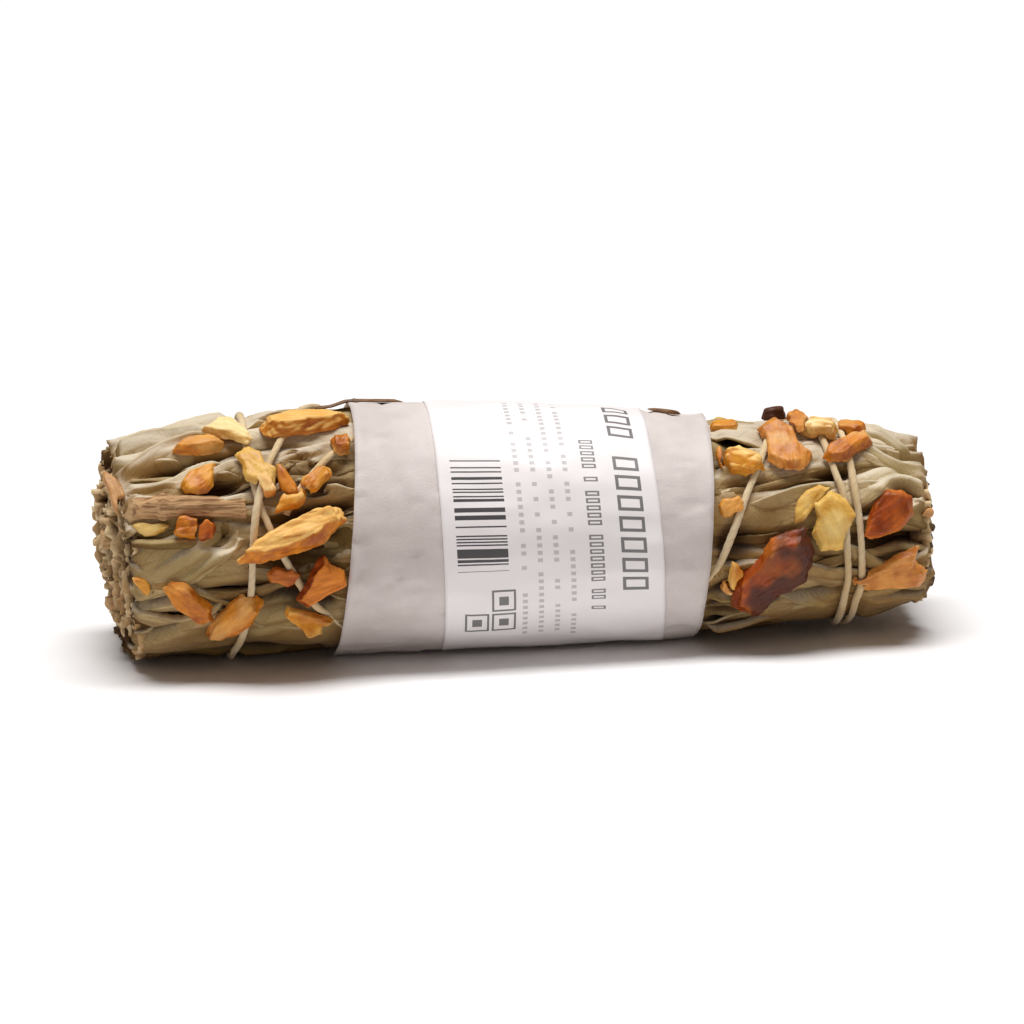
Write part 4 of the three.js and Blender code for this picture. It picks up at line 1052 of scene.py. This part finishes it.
def bark(node, seed, voxel):
    """A copy of a twig's solid with grain, knobs and a dry cut that follows the cut end."""
    piece = copy_of(frame["nodes"][node], node + "_bark")
    apply(piece, "WELD", merge_threshold=0.00001)
    apply(piece, "REMESH", mode="VOXEL", voxel_size=voxel * MM)
    apply(piece, "SMOOTH", factor=0.5, iterations=6)
    points, out = points_of(piece), normals_of(piece)
    grain = 0.1 * rough(points, (5, 0.5, 0.5), seed) + 0.25 * rough(points, (2.2, 1.2, 1.2), seed + 4)
    grain = grain + 0.5 * rough(points, (3.5, 6, 6), seed + 8)
    for knot in KNOTS:
        grain = grain + 0.4 * np.exp(-(((points[:, 0] - knot) / 0.7) ** 2))
    points = points + out * grain[:, None]
    for end in ENDS.values():
        rim = end_x(end, points[:, 1], points[:, 2] - axis_at(end["x"])) + 0.3 * rough(points, 0.8, seed)
        past = np.maximum(end["side"] * (points[:, 0] - rim), 0)
        points[:, 0] -= end["side"] * past * 0.85
    points[:, 2] += 0.25 * np.sin(points[:, 0] / 4.0 + seed)
    set_points(piece, points)
    start = points[:, 0].min()
    broken = (1 - ease(points[:, 0] - start, 1.2, 2.4)) * ease(rough(points, 1.6, seed + 2), -0.3, 0.1)
    store(piece, "cut", np.maximum(ease(np.abs(out[:, 0]), 0.6, 0.9), broken))
    return piece


def bark_look():
    look = Look("twig_bark", {"Roughness": 0.8, "Specular IOR Level": 0.3})
    place = look.place()
    grain = look.grain(look.scaled(place, 0.12, 2.6, 2.6), 1.0, 4)
    colour = look.blend(grain.step(0.35, 0.62), srgb(136, 98, 62), srgb(206, 164, 118))
    knot = look.grain(place, 3.0, 2).step(0.6, 0.72)
    colour = look.blend(knot * 0.6, colour, srgb(98, 64, 40))
    colour = look.blend(look.attribute("cut") * 0.75, colour, srgb(206, 170, 122))
    look.set("Base Color", colour)
    look.bump(grain + look.grain(place, 0.2, 2) * 0.3, 0.3)
    return look.material


BARK = bark_look()
TWIGS = ["woody_stem_front", "woody_stem_inner_1", "woody_stem_inner_2", "woody_stem_inner_3"]
for i, node in enumerate(TWIGS):
    voxel = 0.32 if "inner" in node else 0.16  # only the ends of the inner ones show
    finish(bark(node, 10.0 * i, voxel), BARK, "woody_stem", node)

# %% [markdown]
# ## Cotton string
# The string is three strands twisted together, about a millimetre thick. It is swept
# along its route as a round section with three lobes that turn as it goes, which is
# what a twisted cord looks like from outside. The sheet that it starts from is rolled up
# and its long edges merged.

# %% Cotton string
PLY_TURN = 3.4  # mm of string for one turn of the twist
STRING_SIDES = 12
rings = len(FINE_TURN)  # one for each degree of its turns
string, U, V = flat_sheet(rings - 1, STRING_SIDES, "cotton_string_twisted")
index = np.rint(U * (rings - 1)).astype(int)
hidden = under_band(ROUTE_X, FINE_TURN)
stand = mix(STRING_STAND["free"], STRING_STAND["pressed"], hidden) + ROUTE_EXTRA
centre = around(ROUTE_X, FINE_TURN, stand)
centre[:, 2] = np.maximum(centre[:, 2], STRING / 2 + mix(FLOOR_LEAVES, 0.75, hidden))
along = np.gradient(centre, axis=0)
step = np.linalg.norm(along, axis=1)
length = np.concatenate([[0], np.cumsum((step[1:] + step[:-1]) / 2)])
along /= step[:, None]
out = centre * [0, 1, 1] - np.stack([0 * stand, 0 * stand, axis_at(ROUTE_X)], -1)
side = np.cross(along, out)
side /= np.linalg.norm(side, axis=1, keepdims=True)
out = np.cross(side, along)
angle = V * math.pi
lobes = np.abs(np.cos(1.5 * (angle - 2 * math.pi * length[index] / PLY_TURN)))
thick = STRING / 2 * mix(0.8, 0.9, lobes) * (1 + 0.08 * np.sin(length[index] / 2.3))
points = centre[index] + thick[:, None] * (
    np.cos(angle)[:, None] * out[index] + np.sin(angle)[:, None] * side[index])
set_points(string, points)
set_uv(string, length[index], angle * STRING / 2)
apply(string, "WELD", merge_threshold=0.00001)
take(string)
bpy.ops.object.mode_set(mode="EDIT")
bpy.ops.mesh.select_all(action="DESELECT")
bpy.ops.mesh.select_non_manifold()
bpy.ops.mesh.edge_face_add()
bpy.ops.object.mode_set(mode="OBJECT")
outward(string)
print("string length:", round(float(length[-1])), "mm")

# %% [markdown]
# ## String finish
# Undyed cotton is creamy and dull, darker between its strands. Fine fibres run round it
# along the strands. They are drawn on the string's own map, so they follow the twist.

# %% String finish
look = Look("cotton", {"Roughness": 0.85, "Sheen Weight": 0.3, "Specular IOR Level": 0.25})
uv = look.uv()
run, girth, _ = look.parts(uv)
lay = (run / PLY_TURN * 3.0 - girth * (3 / (math.pi * STRING))).fract()
groove = (lay - 0.5).abs().step(0.3, 0.5)
fibre = look.grain(look.scaled(uv, 1.2, 6.0, 1), 1.0, 3)
soil = look.grain(look.place(), 6.0, 3).step(0.35, 0.7)
colour = look.blend(soil, srgb(232, 212, 174), srgb(212, 184, 136))
colour = look.blend(groove * 0.16 + fibre * 0.2, colour, srgb(176, 138, 84))
look.set("Base Color", colour)
look.bump(fibre * 0.6 - groove * 0.25, 0.12)
finish(string, look.material, "cotton_string", "cotton_string")

# %% [markdown]
# ## Marks on the slivers
# Some slivers show a paler side, such as a clove's cut face, given here as a direction:
# along the stick, round it, and outwards. One has a dark half, one bit is dark all over
# and two bits are pale all over. Two thin peels lie on the band's paper.

# %% Marks on the slivers
PALE_SIDE = {
    "garlic_l_clove_front": (0.0, 0.8, 0.6),
    "garlic_l_wedge_top": (0.0, 0.15, 1.0),
    "garlic_l_fan_top": (0.0, 0.3, 1.0),
    "garlic_l_fan_band": (0.5, 0.3, 0.8),
    "garlic_l_chip_pale": (0.0, 0.4, 1.0),
    "garlic_r_bead_tan": (0.0, 0.8, 0.6),
    "garlic_r_chunk_band": (0.2, 0.8, 0.5),
}
PALE_ALL_OVER = ("garlic_l_peel_rim", "garlic_r_chip_rim")
DARK_PART = {"garlic_r_clove_dark": (-0.4, 0.15), "garlic_r_bead_dark": (-9, -8)}
NOT_DARK = (9, 10)  # no place reaches it
ON_PAPER = ("garlic_l_peel_top", "garlic_r_peel_band")
PEEL_THICK = 0.5


def laid_on_paper(points, c):
    """A thin peel's points, with its lower face on the band. c is -1 below, 1 on top."""
    x, h = points[:, 0], points[:, 2] - axis_at(points[:, 0])
    phi = np.degrees(np.arctan2(h, -points[:, 1]))
    paper = paper_stand(x, phi + 360) + PAPER["thick"] / 2
    bed = mix(0.1, paper, ease(inside_band(x, phi), -2.4, 0.0))  # beside the band: the leaves
    return around(x, phi, bed + PEEL_THICK * (c + 1) / 2)


def pale_places(sliver, points, facing, number):
    """How pale each place is, by its facing or, without a pale side, in a few clouds."""
    node = sliver["node"]
    if node in PALE_ALL_OVER:
        return 1.0
    if node not in PALE_SIDE:
        return 0.5 * ease(rough(points, 4.0, number + 11), 0.05, 0.4)
    out = np.array([0, sliver["middle"][1], sliver["middle"][2] - axis_at(sliver["middle"][0])])
    out /= np.linalg.norm(out)
    girthwise = np.cross(out, (1, 0, 0))
    if girthwise[2] < 0:
        girthwise = -girthwise
    toward = np.array(PALE_SIDE[node]) @ np.array([(1, 0, 0), girthwise, out])
    toward /= np.linalg.norm(toward)
    return ease(facing @ toward + 0.3 * rough(points, 2.0, number), 0.3, 0.55)


# %% [markdown]
# ## Garlic slivers
# Garlic dries to hard, waxy slivers with sharp rims, ridges along the clove's fibres and
# hollows where it shrank. Each solid is copied, merged and remeshed finely. Then it is
# curled a little, ridged along its length and pitted, all in its own directions. The
# amount that each place stands out over a smoothed copy is kept, as rims dry paler.

# %% Garlic slivers
VOXEL = 0.17
RIDGES, PITS, CREASES = 0.04, 0.5, 0.4
RIDGE_PITCH = 1.3


def relief_of(local, across, half_thick, number):
    """Ridges, hollows and creases in mm, weaker on a thin sliver."""
    beat = across * 2 * math.pi / RIDGE_PITCH
    ridge = np.sin(beat + 2.4 * rough(local, 3.0, number) + 6 * chance(number, 3))
    hollows = 0.14 - np.abs(rough(local, (5.0, 2.3, 2.3), number))
    creases = np.abs(rough(local, (2.2, 0.8, 0.8), number + 5)) - 0.14
    relief = RIDGES * ridge + PITS * hollows + CREASES * creases
    return relief * min(1.0, 0.25 + 0.45 * half_thick)


def crest_of(piece):
    """How much each place stands out over a smoothed copy, 0.5 where it doesn't."""
    smooth = copy_of(piece, "smooth_copy")
    apply(smooth, "SMOOTH", factor=0.6, iterations=10)
    crest = ((points_of(piece) - points_of(smooth)) * normals_of(smooth)).sum(1)
    bpy.data.objects.remove(smooth)
    return np.clip(0.5 + crest / 0.3, 0, 1)


def shrivelled(sliver, number):
    """A finer copy of a sliver's solid, dried out or, if it is a peel, laid on the paper."""
    node = sliver["node"]
    piece = copy_of(frame["nodes"][node], node + "_dried")
    apply(piece, "WELD", merge_threshold=0.00001)
    apply(piece, "REMESH", mode="VOXEL", voxel_size=VOXEL * MM)
    apply(piece, "SMOOTH", factor=0.5, iterations=2)
    points, out = points_of(piece), normals_of(piece)
    local = (points - sliver["middle"]) @ sliver["axes"].T
    a, b, c = (local / sliver["half"]).T
    length, width, thick = sliver["half"]
    if node in ON_PAPER:
        moved = laid_on_paper(points, c)
    else:
        curl = mix(-0.5, 0.8, chance(number, 1)) * min(0.16 * length, 0.6)
        twist = 0.075 * width * mix(-1, 1, chance(number, 2))
        lift = curl * (a * a - 0.4) + twist * (b * b - 0.3)
        relief = relief_of(local, b * width, thick, number)
        moved = points + out * relief[:, None] + sliver["axes"][2] * lift[:, None]
    set_points(piece, moved)
    apply(piece, "SMOOTH", factor=0.4, iterations=1)
    store(piece, "crest", crest_of(piece))
    store(piece, "pale", pale_places(sliver, points, normals_of(piece), number))
    shade = 0.8 * rough(local, 2.5, number + 20) - 0.7 * a + 0.9 * b
    store(piece, "dark", ease(shade, *DARK_PART.get(node, NOT_DARK)))
    set_uv(piece, local[:, 0] + 20 * number, local[:, 1] + 0.6 * local[:, 2])
    return piece


slivers = [(sliver["node"], shrivelled(sliver, i)) for i, sliver in enumerate(SLIVERS)]
print("slivers made:", len(slivers))

# %% [markdown]
# ## Garlic finish
# Dried garlic runs from cream over gold and amber to red brown. It is waxy: light enters
# and comes out again, so it gets some subsurface scattering and a thin coat. Fibres,
# clouds and pits vary its colour, hollows are deeper in colour and rims are paler. Each
# slot has three colours: its body, its deep places and its pale ones.

# %% Garlic finish
GARLIC = {
    "garlic_amber": (srgb(218, 134, 26), srgb(158, 74, 4), srgb(242, 194, 112)),
    "garlic_gold": (srgb(226, 154, 44), srgb(184, 100, 12), srgb(246, 210, 126)),
    "garlic_straw": (srgb(232, 188, 96), srgb(206, 148, 54), srgb(246, 222, 150)),
    "garlic_peach": (srgb(222, 150, 68), srgb(180, 100, 26), srgb(242, 200, 132)),
    "garlic_rust": (srgb(170, 74, 6), srgb(116, 42, 2), srgb(226, 136, 44)),
    "garlic_cream": (srgb(236, 192, 112), srgb(202, 138, 54), srgb(250, 224, 166)),
    "garlic_umber": (srgb(134, 98, 66), srgb(88, 58, 36), srgb(198, 146, 90)),
}
NEARLY_BLACK = srgb(66, 25, 8)
WAX = {
    "Subsurface Weight": 0.12,
    "Subsurface Scale": 0.9 * MM,
    "Subsurface Radius": (1.0, 0.45, 0.12),
    "Specular IOR Level": 0.3,
    "Coat Weight": 0.14,
    "Coat Roughness": 0.25,
}


def garlic_look(name, body, deep, pale):
    look = Look(name, WAX)
    place, uv = look.place(), look.uv()
    crest, pale_side = look.attribute("crest"), look.attribute("pale")
    cloud = look.grain(place, 2.2, 4).step(0.25, 0.68)
    colour = look.blend(cloud, deep, body)
    fibres = look.grain(look.scaled(uv, 0.3, 2.4, 1), 1.0, 4)
    colour = look.blend(fibres.step(0.52, 0.68) * 0.5, colour, deep)
    colour = look.blend(crest.step(0.55, 0.9) * 0.45, colour, pale)
    colour = look.blend((1 - crest).step(0.52, 0.85) * 0.75, colour, deep)
    pit = look.grain(place, 0.5, 3).step(0.6, 0.72)
    colour = look.blend(pit * 0.45, colour, deep)
    face = look.blend(fibres.step(0.42, 0.6) * 0.4, pale, body)
    colour = look.blend(pale_side, colour, face)
    colour = look.blend(look.attribute("dark") * 0.9, colour, NEARLY_BLACK)
    look.set("Base Color", colour)
    look.set("Roughness", cloud * 0.15 + pale_side * 0.25 + 0.4)
    crumple = (look.grain(place, 1.3, 3) - 0.5).abs() * 2.2
    look.bump(crumple + fibres * 0.5 + look.grain(place, 0.16, 2) * 0.15, 0.13)
    return look.material


garlic_looks = {slot: garlic_look(slot, *colours) for slot, colours in GARLIC.items()}
slots = {row["node"]: row["material_slot"] for row in frame["record"]["subparts"]}
for node, piece in slivers:
    finish(piece, garlic_looks[slots[node]], slots[node], node)

# %% [markdown]
# ## Paper band
# A strip of uncoated paper goes once round the stick and laps over itself at the back.
# It is one sheet of squares, rolled round the stick's own surface, so its lap is real.
# Paper doesn't stretch, so it shows dents and creases. Its edges stand off a little and
# have small nicks, and it is pressed flat where the stick lies on it.

# %% Paper band
PAPER_FLOOR = 0.161  # the middle of the paper stays this high over the table
sheet, U, V = flat_sheet(240, 64, "paper_band_sheet")
phi = PAPER["from"] + (360 + PAPER["lap"]) * U
x = mix(edge_x(BAND[0], phi), edge_x(BAND[1], phi), (V + 1) / 2)
girth = np.radians(phi) * GIRTH
flat = np.stack([x, girth, 0 * x], -1)
nicks = 1.2 * np.maximum(rough(flat, (2.4, 1.3, 1), 51.0) - 0.27, 0)
nicks = nicks + 1.5 * np.maximum(rough(flat, (1.5, 3.5, 1), 57.0) - 0.3, 0)
at_edge = 1 - ease(inside_band(x, phi), 0, 1.6)
flare = 0.22 * at_edge * (1 + 2.4 * rough(flat, (9, 6, 1), 14.0))
lap = PAPER["lap_rise"] * ease(phi, PAPER["from"] + 352, PAPER["from"] + 366)
points = around(x, phi, np.maximum(paper_stand(x, phi) - nicks + flare + lap, 0.3))
points[:, 2] = np.maximum(points[:, 2], PAPER_FLOOR)
set_points(sheet, points)
set_uv(sheet, x, girth)
apply(sheet, "SOLIDIFY", thickness=PAPER["thick"] * MM, offset=0)
points = points_of(sheet)
points[:, 2] = np.maximum(points[:, 2], 0)
set_points(sheet, points)
outward(sheet)

# %% [markdown]
# ## Band finish
# The paper is a warm, light grey with faint clouds and a few small brownish specks. Its
# creases are in the mesh, so they catch the light, and the finish only adds its tooth.

# %% Band finish
look = Look("band_paper", {"Roughness": 0.62, "Specular IOR Level": 0.35})
place = look.place()
cloud = look.grain(place, 7.0, 4).step(0.3, 0.7)
colour = look.blend(cloud, srgb(204, 194, 190), srgb(218, 209, 205))
speck = look.grain(place, 0.35, 3).step(0.66, 0.74)
colour = look.blend(speck * 0.25, colour, srgb(180, 160, 150))
look.set("Base Color", colour)
look.bump(look.grain(place, 0.22, 3) * 0.4 + look.grain(place, 3.0, 4) * 0.6, 0.12)
finish(sheet, look.material, "band_paper", "paper_band")

# %% [markdown]
# ## Label
# The label is a brighter, smoother sheet glued on the band, so it follows the band's
# dents. What is printed on it is plain: a block of bars, rows of dashes and empty boxes.
# It says nothing. All of it is worked out from the label's own map in millimetres.

# %% Label
LABEL_LIFT, LABEL_THICK = 0.18, 0.08
LABEL_FROM, LABEL_TO = -65, 155  # degrees round the stick
label, U, V = flat_sheet(150, 60, "label_sheet")
phi = mix(LABEL_FROM, LABEL_TO, U)
x = mix(edge_x(LABEL[0], phi), edge_x(LABEL[1], phi), (V + 1) / 2)
set_points(label, around(x, phi, paper_stand(x, phi + 360) + LABEL_LIFT))
LABEL_WIDTH = LABEL[1][0] - LABEL[0][0]
set_uv(label, (V + 1) / 2 * LABEL_WIDTH, np.radians(phi) * GIRTH)
apply(label, "SOLIDIFY", thickness=LABEL_THICK * MM, offset=0)
outward(label)

# %% [markdown]
# ## Label finish
# `across` runs over the label's width and `up` round the stick, from the front upwards.
# A mask for each printed thing is a product of simple steps. The rows of dashes draw
# their gaps from white noise on whole numbers, the bars from the same on a finer count.

# %% Label finish
def drawn(look, number, seed):
    """A value between 0 and 1 for each whole number."""
    return look.node("TexWhiteNoise", {"W": number.floor() + seed}, noise_dimensions="1D")


look = Look("label_paper", {"Roughness": 0.45, "Specular IOR Level": 0.4})
across, up, _ = look.parts(look.uv())
block = across.between(1.6, 7.7) * up.between(-1.6, 11.4)
bars = drawn(look, up / 0.17, 5).above(0.5) * block
row = (across - 8.6) / 1.95
letter = up / 0.87
small = row.fract().between(0.34, 0.64) * row.between(0, 3.999) * up.between(-12.0, 23)
printed = drawn(look, letter.floor() + row.floor() * 91.0, 2).above(0.2)
small = small * letter.fract().between(0.2, 0.74) * printed
count = up / 0.84
middle = across.between(17.5, 19.2) * count.fract().between(0.1, 0.8)
hole = across.between(17.75, 18.95) * count.fract().between(0.32, 0.58)
middle = (middle - hole) * count.between(-9, 17) * drawn(look, count, 9).above(0.16)
count = up / 2.45
large = across.between(21.3, 24.4) * count.fract().between(0.1, 0.84)
hole = across.between(21.7, 24.0) * count.fract().between(0.26, 0.68)
large = (large - hole) * (count.between(-2, 5) + count.between(6, 9))
column, row = (across - 2.2) / 3.2, (up + 10.2) / 3.2
box = column.fract().between(0.05, 0.95) * row.fract().between(0.05, 0.95)
hole = column.fract().between(0.13, 0.87) * row.fract().between(0.13, 0.87)
centre = column.fract().between(0.32, 0.68) * row.fract().between(0.32, 0.68)
boxes = (box - hole + centre) * column.between(0, 2) * row.between(0, 2)
boxes = boxes * (1 - column.below(1) * row.above(1))
ink = (bars + small * 0.4 + middle * 0.8 + large * 0.85 + boxes * 0.85).math("MINIMUM", 1.0)
paper = look.blend(look.grain(look.place(), 8.0, 3), srgb(240, 234, 234), srgb(248, 244, 244))
look.set("Base Color", look.blend(ink * 0.93, paper, srgb(34, 32, 38)))
look.bump(look.grain(look.place(), 4.0, 3), 0.08)
finish(label, look.material, "label_paper", "label_sticker")

# %% [markdown]
# ## Floor and light
# The stick lies on a plain white table under one strong soft light straight above it, so
# its top is very bright and its shadow lies close under it. What light its front gets
# comes back from the table, and a dim warm surrounding fills the rest. The standard view
# transform keeps the white table white.

# %% Floor and light
take_none()
bpy.ops.mesh.primitive_plane_add(size=6)
floor = bpy.context.object
floor.name = floor.data.name = "floor"
look = Look("floor", {"Base Color": (0.9, 0.895, 0.9, 1), "Roughness": 0.6, "Specular IOR Level": 0.2})
floor.data.materials.append(look.material)
floor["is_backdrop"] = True

world = bpy.data.worlds.new("surrounding")
bpy.context.scene.world = world
world.use_nodes = True
world.node_tree.nodes["Background"].inputs["Color"].default_value = (1, 0.87, 0.78, 1)
world.node_tree.nodes["Background"].inputs["Strength"].default_value = 0.19


def overhead_light(name, place, length, width, power):
    """A soft light that shines straight down, longer along the stick than across it."""
    bpy.ops.object.light_add(type="AREA", location=place)
    light = bpy.context.object
    light.name = name
    light.data.shape = "ELLIPSE"
    light.data.size = length
    light.data.size_y = width
    light.data.energy = power


overhead_light("overhead", (-0.03, 0.04, 2.2), 1.9, 0.9, 58.0)
bpy.context.scene.view_settings.view_transform = "Standard"
print("lights placed")

# %% [markdown]
# ## Measure and finish
# The model is to keep the size of the solid model, so both boxes are printed.

# %% Measure and finish
BOXES = {"cad": [list(p) for p in CAD_BOX], "visual": [list(p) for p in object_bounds()]}
for key, box in BOXES.items():
    print(key, [[round(c / MM, 2) for c in p] for p in box])
